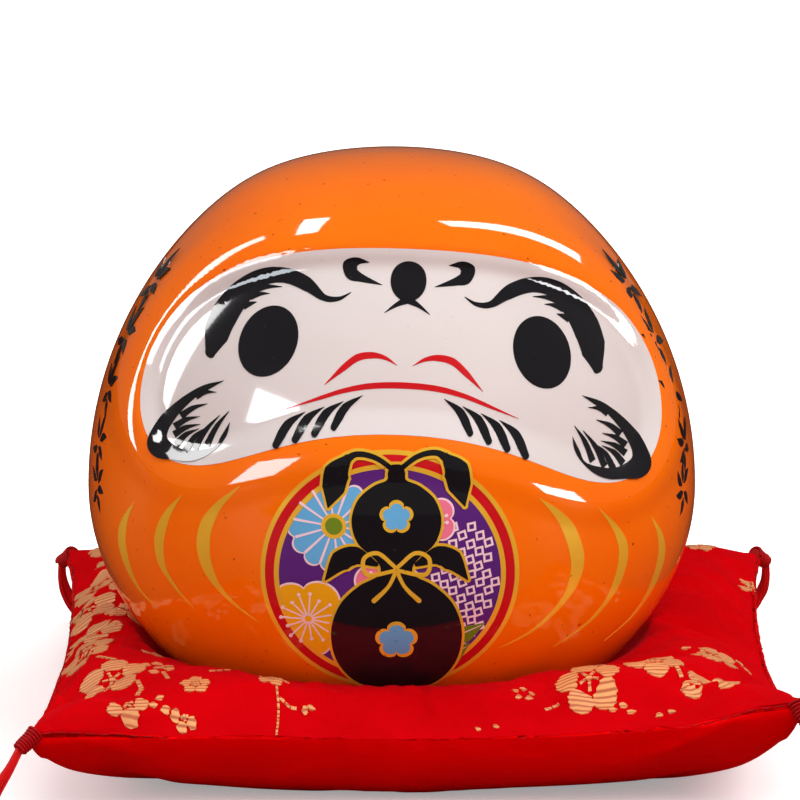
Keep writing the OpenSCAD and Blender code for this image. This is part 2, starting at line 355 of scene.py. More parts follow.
def even_points(points, step):
    """Points at equal steps along a line of points."""
    points = np.asarray(points, float)
    run = np.concatenate([[0], np.cumsum(np.linalg.norm(np.diff(points, axis=0), axis=1))])
    count = max(2, int(round(run[-1] / step)) + 1)
    where = np.linspace(0, run[-1], count)
    return np.stack([np.interp(where, run, column) for column in points.T], axis=1)


def soft_curve(points, per_span=12):
    """A smooth line through the points."""
    points = [np.asarray(p, float) for p in points]
    before = 2 * points[0] - points[1]
    after = 2 * points[-1] - points[-2]
    ring = [before] + points + [after]
    line = []
    for a, b, c, d in zip(ring, ring[1:], ring[2:], ring[3:]):
        for t in np.arange(per_span) / per_span:
            line.append(0.5 * (2 * b + (c - a) * t + (2 * a - 5 * b + 4 * c - d) * t * t
                               + (3 * b - a - 3 * c + d) * t ** 3))
    line.append(points[-1])
    return np.array(line)


def shape_of(bm):
    """The vertices' places, as rows of three numbers."""
    return np.array([v.co[:] for v in bm.verts])


def put(bm, places):
    """Moves every vertex to its row of places."""
    for vert, place in zip(bm.verts, places):
        vert.co = place


def piece(name, bm, body, look, sharp=35.0):
    """Finishes a piece: metres, smooth faces with crisp edges, its finish and what carries it."""
    for vert in bm.verts:
        vert.co = vert.co * 0.001
    for face in bm.faces:
        face.smooth = True
    mesh = bpy.data.meshes.new(name)
    bm.to_mesh(mesh)
    bm.free()
    mesh.set_sharp_from_angle(angle=math.radians(sharp))
    mesh.materials.append(look)
    made = bpy.data.objects.new(name, mesh)
    bpy.context.collection.objects.link(made)
    if body:
        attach(made, body)
    return made


def slotted(made):
    """Gives the piece back as it is."""
    return made


# %% [markdown]
# ## The doll's shell
# The real shell is slip-cast in a plaster mould: a round belly that is fullest low down, a flat
# crown, and a face sunk behind a soft ridge, like a hood. It can be made by turning one profile
# right round the axis, outside and inside in one line, and then pushing the face in. The ridge
# matters as much as the hollow, because it is what catches the lamps.

# %% The turned profile
BELLY_R = 62.5
BELLY_Z = 38.0
CROWN_Z = 107.0
UNDER_DEPTH = BELLY_Z * 1.526


def turned_radius(z, wall=0.0):
    """Radius of the doll at a height above its foot, less the wall."""
    z = np.asarray(z, float)
    up = np.clip((z - BELLY_Z) / (CROWN_Z - wall - BELLY_Z), 0, 1)
    down = np.clip((BELLY_Z - z) / UNDER_DEPTH, 0, 1)
    upper = np.clip(1 - 0.86 * up ** 2 - 0.14 * up ** 24, 0, 1) ** (1 / 1.75)
    lower = (1 - down ** 2) ** (1 / 1.5)
    return (BELLY_R - wall) * np.where(z >= BELLY_Z, upper, lower)


def turned_normal(x, y, z):
    """Outward direction of the turned shape at points on it."""
    lean = (turned_radius(z + 0.1) - turned_radius(z - 0.1)) / 0.2
    lean = np.clip(lean, -30, 30)
    far = np.maximum(np.hypot(x, y), 1e-6)
    way = np.stack([x / far, y / far, -lean], axis=-1)
    return way / np.linalg.norm(way, axis=-1, keepdims=True)


# %% [markdown]
# The face is drawn on a flat sheet held up to the doll's front, with u across and w up from the
# middle line of the face, and the whole sheet leans 2.8 degrees.

# %% The face's outline and its hollow
LEAN = math.radians(2.8)


def from_face(points):
    """Face places (u, w) to places across and up on the doll."""
    points = np.asarray(points, float)
    u, w = points[..., 0], points[..., 1]
    return np.stack([2 + u * math.cos(LEAN) + w * math.sin(LEAN),
                     60 - u * math.sin(LEAN) + w * math.cos(LEAN)], axis=-1)


def bezier(a, b, c, d, count=14):
    """Points along one curve with two handles, without its last point."""
    t = (np.arange(count) / count)[:, None]
    a, b, c, d = (np.array(p, float) for p in (a, b, c, d))
    return (1 - t) ** 3 * a + 3 * (1 - t) ** 2 * t * b + 3 * (1 - t) * t ** 2 * c + t ** 3 * d


half_outline = np.concatenate([
    bezier((0, 34.4), (20, 34.4), (33, 30), (42, 22)),
    bezier((42, 22), (48, 16.5), (52.5, 8), (52.5, 0)),
    bezier((52.5, 0), (52.5, -6), (49, -10), (44, -10)),
    bezier((44, -10), (33, -10), (24, 1.2), (0, 1.2)),
    [(0, 1.2)],
])
mirrored_half = (half_outline * (-1, 1))[::-1][1:-1]
face_outline = even_points(from_face(np.concatenate([half_outline, mirrored_half])), 1.6)


def outside_face(x, z):
    """How far a place lies outside the face's outline; inside it, below zero."""
    here = np.stack([np.ravel(x), np.ravel(z)], axis=1)
    start = face_outline
    end = np.roll(face_outline, -1, axis=0)
    gap = np.full(len(here), 1e9)
    inside = np.zeros(len(here), bool)
    for a, b in zip(start, end):
        along = b - a
        t = np.clip((here - a) @ along / max(along @ along, 1e-12), 0, 1)
        gap = np.minimum(gap, np.linalg.norm(here - a - t[:, None] * along, axis=1))
        if a[1] != b[1]:
            cross = (a[1] > here[:, 1]) != (b[1] > here[:, 1])
            reach = a[0] + (here[:, 1] - a[1]) / (b[1] - a[1]) * along[0]
            inside ^= cross & (here[:, 0] < reach)
    return np.where(inside, -gap, gap).reshape(np.shape(x))


def face_relief(x, z):
    """How far the front stands out (or, below zero, in) from the turned shape."""
    gap = outside_face(x, z)
    hollow = -3.0 * (1 - smooth((gap + 4.8) / 5.8))
    ridge = 0.8 * np.sin(np.pi * np.clip((gap + 1.2) / 11.0, 0, 1)) ** 2
    return hollow + ridge


# %% Turning the shell and pushing the face in
def profile_points():
    """The outside from the crown to the foot, and the inside back up to the crown."""
    sweep = np.linspace(math.pi / 2, 0, 1500)
    upper_z = BELLY_Z + (CROWN_Z - BELLY_Z) * np.sin(sweep)
    lower_z = np.linspace(BELLY_Z, FOOT_EDGE, 300)[1:]
    outer_z = np.concatenate([upper_z, lower_z])
    outer = even_points(np.stack([turned_radius(outer_z), outer_z], axis=1), 1.12)
    outer[0] = (0, CROWN_Z)
    flat = outer[-1, 0] - FOOT_EDGE
    foot = [(flat + FOOT_EDGE * math.cos(a), FOOT_EDGE - FOOT_EDGE * math.sin(a))
            for a in np.radians([22, 45, 68, 90])]
    ring = [(flat - 1.8, 0), (flat - 3.2, 0), (flat - 3.5, 0.4), (flat - 3.7, 2.2), (flat - 4.2, 2.5),
            (30, 2.5)]
    hole = [(HOLE_R + 0.4, 2.5), (HOLE_R, 2.9), (HOLE_R, FLOOR_Z - 0.4), (HOLE_R + 0.4, FLOOR_Z)]
    quarter = np.linspace(0, math.pi / 2, 600)
    inner_z = np.concatenate([np.linspace(FLOOR_Z, BELLY_Z, 60),
                              BELLY_Z + (CROWN_Z - WALL - BELLY_Z) * np.sin(quarter)])
    inner = even_points(np.stack([turned_radius(inner_z, WALL), inner_z], axis=1), 4.5)
    inner[-1] = (0, CROWN_Z - WALL)
    return [tuple(p) for p in outer] + foot + ring + hole + [tuple(p) for p in inner]


STEPS = 336
bm = bmesh.new()
line = [bm.verts.new((r, 0, z)) for r, z in profile_points()]
edges = [bm.edges.new(pair) for pair in zip(line, line[1:])]
bmesh.ops.rotate(bm, verts=line, cent=(0, 0, 0), matrix=Matrix.Rotation(math.radians(40), 3, "Z"))
bmesh.ops.spin(bm, geom=line + edges, cent=(0, 0, 0), axis=(0, 0, 1), angle=2 * math.pi,
               steps=STEPS, use_merge=True)
bmesh.ops.remove_doubles(bm, verts=bm.verts, dist=0.0005)
bmesh.ops.recalc_face_normals(bm, faces=bm.faces)
places = shape_of(bm)
front = (places[:, 1] < 0) & (places[:, 2] > 20)
start = places[front]
way = turned_normal(start[:, 0], start[:, 1], start[:, 2])
sunk = start.copy()
for _ in range(4):
    beneath_white = 0.5 * smooth((-outside_face(sunk[:, 0], sunk[:, 2]) - 0.3) / 1.2)
    sunk = start + way * (face_relief(sunk[:, 0], sunk[:, 2]) - beneath_white)[:, None]
facing = smooth((-start[:, 1] - 6) / 12)[:, None]
places[front] = start + (sunk - start) * facing

# The lip of the coin slot is wiped soft before firing, so the wall rolls in around it.
back = (places[:, 1] > 20) & (np.abs(places[:, 2] - SLOT_Z) < 8)
around = places[back]
past = np.maximum(np.abs(around[:, 0]) - SLOT_HALF, 0)
from_slot = np.hypot(past, around[:, 2] - SLOT_Z) - LIP
outer_face = np.hypot(around[:, 0], around[:, 1]) > turned_radius(around[:, 2]) - 1
roll = 0.7 * (1 - smooth(from_slot / 2.2)) * outer_face
places[back] = around - turned_normal(around[:, 0], around[:, 1], around[:, 2]) * roll[:, None]
put(bm, places + (DOLL_X, 0, SIT_Z))
shell = piece("ceramic_shell", bm, None, orange_glaze, sharp=50)
print("shell faces:", len(shell.data.polygons))


# %% [markdown]
# The coin slot is cut through the back of the soft clay, a straight slit with round ends. It is
# cut here the same way, with a cutter of that shape.

# %% Cutting the coin slot
def baked(made):
    """Replaces a piece's mesh by the one that its modifiers make, and drops them."""
    seen = bpy.context.evaluated_depsgraph_get()
    mesh = bpy.data.meshes.new_from_object(made.evaluated_get(seen))
    made.modifiers.clear()
    made.data = mesh
    return made


bm = bmesh.new()
bmesh.ops.create_cube(bm, size=1)
bmesh.ops.scale(bm, verts=bm.verts, vec=(2 * (SLOT_HALF + LIP), 45, 2 * LIP))
bmesh.ops.translate(bm, verts=bm.verts, vec=(DOLL_X, 50, SIT_Z + SLOT_Z))
ends = [e for e in bm.edges if abs(e.verts[0].co.y - e.verts[1].co.y) > 1]
bmesh.ops.bevel(bm, geom=ends, affect="EDGES", offset=LIP - 0.01, offset_type="OFFSET", segments=8,
                profile=0.5, material=-1)
cutter = piece("slot_cutter", bm, None, orange_glaze)
cut = shell.modifiers.new("slot", "BOOLEAN")
cut.object = cutter
cut.solver = "EXACT"
baked(shell)
bpy.data.objects.remove(cutter)
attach(shell, "doll")
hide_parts("doll_shell")
slotted(shell)
print("shell with its slot:", len(shell.data.polygons), "faces")


# %% [markdown]
# ## White face and painted features
# The white glaze is trailed into the hollow and stops at the ridge, a little thicker than a sheet
# of paper. The features are brushed on it in black and red, each a single stroke that swells and
# tapers. Every stroke is made as the brush made it: an edge as wide as the brush, pulled along
# its line, then wrapped onto the doll and given a thin body.

# %% Wrapping flat paint onto the doll
def on_front(x, z, lift):
    """The place on the doll's finished front at x, z, raised by lift along the surface."""
    height = face_relief(x, z)
    base_x, base_z = x.copy(), z.copy()
    for _ in range(4):
        depth = -np.sqrt(np.maximum(turned_radius(base_z) ** 2 - base_x ** 2, 0.01))
        way = turned_normal(base_x, depth, base_z)
        base_x = x - way[:, 0] * height
        base_z = z - way[:, 2] * height
    depth = -np.sqrt(np.maximum(turned_radius(base_z) ** 2 - base_x ** 2, 0.01))
    way = turned_normal(base_x, depth, base_z)
    return np.stack([base_x, depth, base_z], axis=1) + way * (height + lift)[:, None]


def around_side(turn):
    """Wrapping for paint at the doll's side: x runs round the doll from the given angle."""
    def wrap(x, z, lift):
        far = turned_radius(z)
        angle = math.radians(turn) + x / far
        place = np.stack([far * np.sin(angle), -far * np.cos(angle), z], axis=1)
        raised = lift + face_relief(place[:, 0], z) * (place[:, 1] < 0)
        return place + turned_normal(place[:, 0], place[:, 1], z) * raised[:, None]
    return wrap


def wrap_paint(bm, top, under=-0.12, cell=1.0, wrap=on_front, edge_top=None):
    """Cuts flat paint into small cells, gives it a body and lays it on the doll."""
    flat = shape_of(bm)
    for axis in (0, 2):
        low, high = flat[:, axis].min(), flat[:, axis].max()
        across = Vector((1, 0, 0)) if axis == 0 else Vector((0, 0, 1))
        for k in range(int(low // cell) + 1, int(high // cell) + 1):
            bmesh.ops.bisect_plane(bm, geom=bm.verts[:] + bm.edges[:] + bm.faces[:], dist=1e-5,
                                   plane_co=across * (k * cell), plane_no=across)
    bmesh.ops.remove_doubles(bm, verts=bm.verts, dist=0.002)
    bmesh.ops.triangulate(bm, faces=[f for f in bm.faces if len(f.verts) > 4])
    lower = bm.verts[:]
    grown = bmesh.ops.extrude_face_region(bm, geom=bm.faces[:], use_keep_orig=True)
    upper = {v for v in grown["geom"] if isinstance(v, bmesh.types.BMVert)}
    is_top = np.array([v in upper for v in bm.verts])
    flat = shape_of(bm)
    lift = np.where(is_top, top, under)
    if edge_top is not None:
        inner = smooth(-outside_face(flat[:, 0], flat[:, 2]) / 2.0)
        lift = np.where(is_top, edge_top + (top - edge_top) * inner, under)
    put(bm, wrap(flat[:, 0], flat[:, 2], lift) + (DOLL_X, 0, SIT_Z))
    bmesh.ops.recalc_face_normals(bm, faces=bm.faces)
    return bm


def flat_patch(bm, outline):
    """A filled patch inside a closed outline of (x, z)."""
    disc = bmesh.ops.create_circle(bm, cap_ends=True, segments=len(outline), radius=1)
    for vert, place in zip(disc["verts"], outline):
        vert.co = (place[0], 0, place[1])


def flat_stroke(bm, line, halves, round_start=False, round_end=False):
    """One brush stroke: an edge as wide as the brush, pulled along the line."""
    path = soft_curve(line, 8)
    wide = np.interp(np.linspace(0, len(halves) - 1, len(path)), range(len(halves)), halves)
    way = np.gradient(path, axis=0)
    way /= np.maximum(np.linalg.norm(way, axis=1, keepdims=True), 1e-9)
    sweep = np.radians([75, 55, 35, 15])
    if round_end:
        cap = [path[-1] + way[-1] * wide[-1] * math.cos(a) for a in sweep]
        path = np.concatenate([path, cap])
        way = np.concatenate([way, [way[-1]] * 4])
        wide = np.concatenate([wide, wide[-1] * np.sin(sweep)])
    if round_start:
        cap = [path[0] - way[0] * wide[0] * math.cos(a) for a in sweep[::-1]]
        path = np.concatenate([cap, path])
        way = np.concatenate([[way[0]] * 4, way])
        wide = np.concatenate([wide[0] * np.sin(sweep[::-1]), wide])
    side = np.stack([-way[:, 1], way[:, 0]], axis=1) * wide[:, None]
    left, right = path + side, path - side
    first = [bm.verts.new((p[0], 0, p[1])) for p in (left[0], right[0])]
    brush = bm.edges.new(first)
    for a, b in zip(left[1:], right[1:]):
        pulled = bmesh.ops.extrude_edge_only(bm, edges=[brush])["geom"]
        brush = [e for e in pulled if isinstance(e, bmesh.types.BMEdge)
                 and all(v in pulled for v in e.verts)][0]
        ends_now = sorted(brush.verts, key=lambda v: (v.co - first[0].co).length)
        ends_now[0].co = (a[0], 0, a[1])
        ends_now[1].co = (b[0], 0, b[1])
        first = ends_now


def both_sides(points):
    """The places for the right half of the face and their mirror image."""
    points = np.asarray(points, float)
    return points, points * (-1, 1)


def ellipse(cx, cz, a, b, turn=0.0, count=48):
    """Points round an ellipse that leans by turn degrees."""
    t = np.linspace(0, 2 * math.pi, count, endpoint=False)
    c, s = math.cos(math.radians(turn)), math.sin(math.radians(turn))
    x, z = a * np.cos(t), b * np.sin(t)
    return np.stack([cx + x * c - z * s, cz + x * s + z * c], axis=1)


def painted(name, bm, look, top, **how):
    """Wraps the paint and finishes it as a piece of the doll."""
    made = piece(name, wrap_paint(bm, top, **how), "doll", look)
    return slotted(made)


def painted_patch(name, outline, look, top, **how):
    """A piece of paint that fills one outline."""
    bm = bmesh.new()
    flat_patch(bm, outline)
    return painted(name, bm, look, top, **how)


# %% The white glaze of the face
white_outline = even_points(np.concatenate([face_outline, face_outline[:1]]), 0.8)[:-1]
white_face = painted_patch("white_face", white_outline, white_glaze, 0.26, under=-0.9, cell=0.7,
                           edge_top=0.1)
print("white face:", len(white_face.data.polygons))

# %% [markdown]
# Brows are drawn from their thin inner end, round over the eye, and pressed down at the outside,
# with three dry-brush hairs inside the bend.

# %% Brows and eyes
brow_line = [(11.2, 25.6), (13.6, 24.3), (16.5, 24.2), (20, 26.1), (24.5, 27.1), (29, 26.1),
             (33, 22.7), (36, 18.3), (37.6, 14.5), (38.6, 11)]
brow_halves = [0.05, 0.35, 0.6, 1.3, 1.4, 1.6, 2.1, 2.45, 2.4, 1.0]
brow_hairs = [[(30.4, 23.6), (27.6, 24.6), (24.9, 25)], [(31.2, 22.2), (29.2, 23.1), (27.3, 23.5)],
              [(32.4, 20.3), (31, 21.1), (29.8, 21.6)]]
bm = bmesh.new()
for line in both_sides(brow_line):
    flat_stroke(bm, from_face(line), brow_halves, round_end=True)
for hair in brow_hairs:
    for line in both_sides(hair):
        flat_stroke(bm, from_face(line), [0.55, 0.35, 0.04])
painted("brows", bm, black_enamel, 0.36)

bm = bmesh.new()
for side in (1, -1):
    round_eye = ellipse(27.1 * side, 15.1, 7.1, 5.2, turn=90 + 35 * side)
    flat_patch(bm, from_face(round_eye))
painted("eyes", bm, black_enamel, 0.36)

# %% The drop on the forehead, the nostril commas and the chin strokes
bm = bmesh.new()
flat_patch(bm, from_face(ellipse(0, 28.2, 3.55, 3.55)))
flat_stroke(bm, from_face([(0, 27), (0, 25.6), (0, 24.7)]), [2.4, 1.4, 1.2])
for line in both_sides([(0, 25), (2.2, 24), (4.5, 22.5)]):
    flat_stroke(bm, from_face(line), [0.7, 0.38, 0.03])
comma = [(7.9, 31.1), (10.2, 31.2), (11.6, 30.2), (11.2, 28.9), (9.6, 28.3), (7.5, 27.8), (5.2, 27.3)]
for line in both_sides(comma):
    flat_stroke(bm, from_face(line), [0.05, 0.75, 1.5, 1.3, 0.75, 0.4, 0.03])
for k in range(4):
    tip = np.array([8 + 3.7 * k, 7.45 - 1.35 * k])
    head = np.array([13.4 + 3.75 * k, 1.5 - 1.5 * k])
    bend = (tip + head) / 2 + (0.5, 0.6)
    for line in both_sides([tip, bend, head]):
        flat_stroke(bm, from_face(line), [0.03, 0.4, 0.75, 0.8, 0.6], round_end=True)
painted("forehead_and_chin", bm, black_enamel, 0.37)

# %% The lips
bm = bmesh.new()
for line in both_sides([(1.5, 13.3), (3.9, 14.5), (6.5, 14.85), (9.4, 14.2), (12.2, 12), (15.6, 8.75)]):
    flat_stroke(bm, from_face(line), [0.03, 0.35, 0.58, 0.65, 0.55, 0.03])
mouth = [(-22.9, 3.5), (-16, 6.4), (-11.5, 8.1), (-6.3, 9.3), (0, 9.7), (6.3, 9.3), (11.5, 8.1),
         (16, 6.4), (22.9, 3.5)]
flat_stroke(bm, from_face(mouth), [0.03, 0.35, 0.45, 0.55, 0.58, 0.55, 0.45, 0.35, 0.03])
painted("lips", bm, red_enamel, 0.35)

# %% [markdown]
# The cheek whiskers start as a crescent along the outside of the cheek, and dry-brush hairs fan
# out of it towards the nose.

# %% Cheek whiskers
crescent_out = [(35.5, 6.6), (39.3, 5), (42.8, 2.4), (46, -0.8), (48.4, -3.8), (50.2, -7),
                (49.9, -9.1), (48.1, -10.0), (45.3, -9.7), (41.7, -9.2), (38.6, -7.8),
                (36, -5.6), (34.4, -3.3), (33.9, -0.8)]
crescent_in = [(33.9, -0.8), (35.4, -3.5), (37, -5.9), (42.4, -7.6), (46, -6.9), (46.3, -5.4),
               (45, -2.8), (43.2, -0.2), (40.6, 2.7), (38, 4.7), (35.5, 6.6)]
whisker_hairs = [[(41, 2.5), (36.9, 4.2)], [(43.8, -1.9), (38.6, 1.7)], [(45, -4.2), (40, -1)],
                 [(45, -5.7), (39.8, -2.4)], [(44.5, -7.3), (40, -3.3)], [(42.5, -7.8), (38.5, -2.7)],
                 [(40.7, -7.1), (36, 0.1)], [(38.2, -5.8), (34.2, 1.2)]]
bm = bmesh.new()
crescent = np.concatenate([soft_curve(crescent_out, 4)[:-1], soft_curve(crescent_in, 4)[:-1]])
for outline in both_sides(crescent):
    flat_patch(bm, from_face(outline))
for hair in whisker_hairs:
    root, tip = (np.array(p, float) for p in hair)
    bend = (root + tip) / 2 + (0.2, 0.35)
    for line in both_sides([root, bend, tip]):
        flat_stroke(bm, from_face(line), [0.6, 0.42, 0.03])
painted("cheek_whiskers", bm, black_enamel, 0.40, cell=0.8)

# %% [markdown]
# ## Gold lines on the belly
# Three gold folds of the robe curve down each side, drawn with a full brush at the bend and a
# dry one at both ends. They are fired gold, a little raised.

# %% Gold robe lines
gold_lines = [
    ([(-51.7, 42), (-53.7, 37.6), (-54.4, 32.8), (-53.2, 27.4), (-50.8, 23), (-47.8, 20.4)], 0.85),
    ([(-41.7, 46.3), (-44.8, 41.4), (-46.4, 36.2), (-46, 31), (-43.4, 26.6), (-39.4, 22.4)], 1.0),
    ([(-29.9, 50), (-34.4, 45.2), (-37, 40), (-37.2, 34.5), (-35.2, 29.6), (-31.4, 25.4),
      (-26.3, 21.7)], 1.35),
    ([(29.2, 47.7), (32.5, 44.4), (35.2, 40.4), (36.9, 34.6), (36.4, 29.8), (34, 25.2), (28.4, 19.8),
      (21.5, 16.2)], 1.4),
    ([(41.3, 43.8), (45.1, 38), (46.4, 32.8), (44.6, 25.8), (40, 19.6), (32.5, 14.7)], 1.0),
    ([(52.2, 39), (54.2, 34), (54.4, 28.6), (52.4, 22.4), (48.6, 17), (42.9, 12.9)], 0.8),
]
bm = bmesh.new()
for line, half in gold_lines:
    swell = [half * share for share in (0.5, 0.9, 1, 0.8, 0.4, 0.2)]
    flat_stroke(bm, line, [0.03] + swell + [0.03])
painted("robe_lines", bm, gold_lustre, 0.07)
print("face and robe lines done")

# %% [markdown]
# ## The belly roundel
# A transfer is laid on the belly and fired: a gold and red ring round a purple ground full of
# flowers, with tie-dyed squares at the right. It is built up in the printer's order, from the
# ring to the flowers' stamens, each colour a hair above the one below.

# %% Ring and ground
ROUND_X, ROUND_Z = -0.3, 33.0
for name, radius, look, top in (("roundel_gold_rim", 25.6, gold_lustre, 0.04),
                                ("roundel_red_ring", 24.7, red_enamel, 0.07),
                                ("roundel_gold_line", 22.9, gold_lustre, 0.10),
                                ("roundel_ground", 21.9, purple_enamel, 0.13)):
    painted_patch(name, ellipse(ROUND_X, ROUND_Z, radius, radius, count=180), look, top, cell=1.2)


def within_ground(points):
    """Keeps an outline inside the purple ground, by pulling what is past its edge back to it."""
    points = np.asarray(points, float)
    middle = np.array([ROUND_X, ROUND_Z])
    away = points - middle
    far = np.maximum(np.linalg.norm(away, axis=1, keepdims=True), 1e-6)
    return middle + away * np.minimum(1, 21.85 / far)


def lobed(cx, cz, radius, lobes, turn=0.0, bite=0.2, count=144):
    """A flower seen from the front: round petals that meet in notches."""
    t = np.linspace(0, 2 * math.pi, count, endpoint=False)
    rim = radius * (1 - bite + bite * np.abs(np.cos(lobes / 2 * (t - math.radians(turn)))) ** 0.6)
    return np.stack([cx + rim * np.cos(t), cz + rim * np.sin(t)], axis=1)


def ray_line(cx, cz, angle, start, end):
    """A straight line out of a flower's heart."""
    way = np.array([math.cos(math.radians(angle)), math.sin(math.radians(angle))])
    heart = np.array([cx, cz])
    return [heart + way * start, heart + way * (start + end) / 2, heart + way * end]


# %% Tie-dyed squares: each is a small pale frame, made by insetting a tilted tile
bm = bmesh.new()
for i in range(-9, 10):
    for j in range(-9, 10):
        cx = 15.6 + (i - j) * 1.68 + 0.2 * math.sin(i * 2.1)
        cz = 30.0 + (i + j) * 1.62 + 0.16 * math.sin(j * 1.7)
        far = math.hypot(cx - ROUND_X, cz - ROUND_Z)
        if far > 20.9 or cx < 6.4 + 0.35 * abs(cz - 30) or cz < 16.5 or cz > 44:
            continue
        turn = math.radians(12 + 5 * math.sin(i * 3.3 + j))
        tile = bmesh.ops.create_circle(bm, cap_ends=True, segments=4, radius=1)
        corners = ellipse(cx, cz, 1.3, 1.2, turn=45 + math.degrees(turn), count=4)
        for vert, place in zip(tile["verts"], corners):
            vert.co = (place[0], 0, place[1])
        face = tile["verts"][0].link_faces[0]
        face.normal_update()
        bmesh.ops.inset_individual(bm, faces=[face], thickness=0.42, use_even_offset=True)
        bmesh.ops.delete(bm, geom=[face], context="FACES")
painted("tie_dyed_squares", bm, pale_enamel, 0.16)

# %% Green leaves at the foot of the roundel
bm = bmesh.new()
for line, halves in (
        ([(3.5, 17.5), (9.6, 18.6), (14.5, 20.4), (18.4, 22.6)], [0.1, 1.7, 1.9, 0.1]),
        ([(4.5, 15.2), (9, 14.2), (12.4, 13.6), (15.4, 18.2)], [0.1, 2.2, 2.0, 0.1]),
        ([(-9, 13.4), (-5, 14.8), (-1, 18.0)], [0.1, 1.5, 0.1])):
    flat_stroke(bm, within_ground(line), halves)
painted("roundel_leaves", bm, green_enamel, 0.18)
bm = bmesh.new()
for line in ([(3.5, 17.5), (9.6, 18.9), (17.8, 22.2)], [(4.5, 15.2), (9, 14.6), (14.8, 17.4)],
             [(7.5, 18.2), (8.6, 16.2)], [(12, 15.6), (13.2, 18.0)]):
    flat_stroke(bm, within_ground(soft_curve(line, 3)), [0.05, 0.22, 0.05])
painted("leaf_veins", bm, pale_enamel, 0.20)


# %% Flowers: outline, petals, lines between them, heart and stamens
def flower(name, cx, cz, radius, lobes, turn, petal, bite=0.26):
    """A printed flower, from its pale outline to the lines between or the stamens on its petals."""
    for part, inset, look, top in (("_outline", 0, pale_enamel, 0.21), ("_petals", 0.42, petal, 0.24)):
        outline = within_ground(lobed(cx, cz, radius - inset, lobes, turn, bite))
        painted_patch(name + part, outline, look, top)
    pale = bmesh.new()
    for k in range(lobes):
        if lobes > 5:
            angle = turn + 360 * (k + 0.5) / lobes
            flat_stroke(pale, ray_line(cx, cz, angle, radius * 0.24, radius * (1 - bite) - 0.1),
                        [0.16, 0.22, 0.26])
            continue
        for step in (-24, 0, 24):
            reach = radius * (0.62 if step else 0.52)
            stamen = ray_line(cx, cz, turn + 360 * k / lobes + step, radius * 0.08, reach)
            flat_stroke(pale, stamen, [0.16, 0.15, 0.13])
            flat_patch(pale, ellipse(*stamen[2], 0.36, 0.36, count=10))
    painted(name + "_lines", pale, pale_enamel, 0.27)


flower("blue_chrysanthemum", -11.3, 43.4, 9.4, 14, 6, blue_enamel, bite=0.14)
flower("yellow_plum", -16.4, 23.8, 8.8, 5, 62, yellow_enamel)
flower("pink_plum", -0.9, 31.6, 6.6, 5, 20, pink_enamel)
flower("small_pink_plum", 7.6, 44.6, 5.4, 5, 40, pink_enamel)
flower("lower_blue_flower", 0.4, 15.4, 4.6, 5, 10, blue_enamel)
painted_patch("chrysanthemum_ring", ellipse(-11.3, 43.4, 2.5, 2.5, count=30), gold_lustre, 0.29)
painted_patch("chrysanthemum_heart", ellipse(-11.3, 43.4, 1.7, 1.7, count=24), green_enamel, 0.31)
print("roundel done")

# %% [markdown]
# ## The emblem over the roundel
# A bold black bottle gourd with gold edges stands over the flowers. The gourd is an old sign for
# good luck. Its leaves and its tied cord leave gaps where the flowers show.

# %% Gourd emblem
gourd_half = [(0.0, 55.8), (1.2, 55.6), (1.7, 54.0), (1.9, 52.6), (4.6, 51.4), (7.6, 48.6), (8.8, 44.4),
              (7.6, 40.2), (4.6, 37.4), (3.2, 35.6), (3.6, 33.6), (7.4, 31.4), (11.2, 27.2), (12.9, 21.0),
              (11.6, 14.0), (7.2, 9.0), (0.0, 7.4)]
EMBLEM_X = 1.0


def grown(outline, by):
    """An outline moved outwards by a distance."""
    way = np.roll(outline, -1, axis=0) - np.roll(outline, 1, axis=0)
    way /= np.maximum(np.linalg.norm(way, axis=1, keepdims=True), 1e-9)
    following = np.roll(outline, -1, axis=0)
    area = np.sum(outline[:, 0] * following[:, 1] - following[:, 0] * outline[:, 1])
    turn = 1 if area > 0 else -1
    return outline + np.stack([way[:, 1], -way[:, 0]], axis=1) * by * turn


right_side = soft_curve(gourd_half, 6)
gourd = np.concatenate([right_side, (right_side * (-1, 1))[::-1][1:-1]]) + (EMBLEM_X, 0)
emblem_leaves = [
    ([(1.0, 54.2), (-3.0, 57.0), (-7.0, 57.6), (-9.6, 55.6)], [0.5, 0.5, 0.55, 0.9]),
    ([(-8.6, 56.8), (-10.6, 54.0), (-11.4, 50.6), (-12.4, 47.0)], [0.8, 2.5, 2.2, 0.1]),
    ([(1.0, 54.2), (5.0, 57.2), (9.0, 57.8), (11.6, 55.8)], [0.5, 0.5, 0.55, 0.9]),
    ([(10.6, 57.0), (12.6, 54.4), (13.4, 51.0), (14.4, 47.2)], [0.8, 2.5, 2.2, 0.1]),
    ([(-3.0, 36.0), (-7.0, 37.6), (-10.0, 36.4), (-13.0, 32.4)], [0.5, 1.9, 2.1, 0.1]),
    ([(5.0, 36.0), (9.0, 37.6), (12.0, 36.4), (15.0, 32.4)], [0.5, 1.9, 2.1, 0.1]),
]
emblem_cords = [
    ([(1, 35.2), (-2.6, 38.2), (-5.4, 37.0), (-4.6, 33.8), (1, 34.8)], [0.38, 0.42, 0.42, 0.42, 0.38]),
    ([(1, 35.2), (4.6, 38.2), (7.4, 37.0), (6.6, 33.8), (1, 34.8)], [0.38, 0.42, 0.42, 0.42, 0.38]),
    ([(1, 34.8), (-0.6, 31.4), (-3.4, 28.4)], [0.4, 0.36, 0.5]),
    ([(1, 34.8), (2.6, 31.4), (5.4, 28.4)], [0.4, 0.36, 0.5]),
]
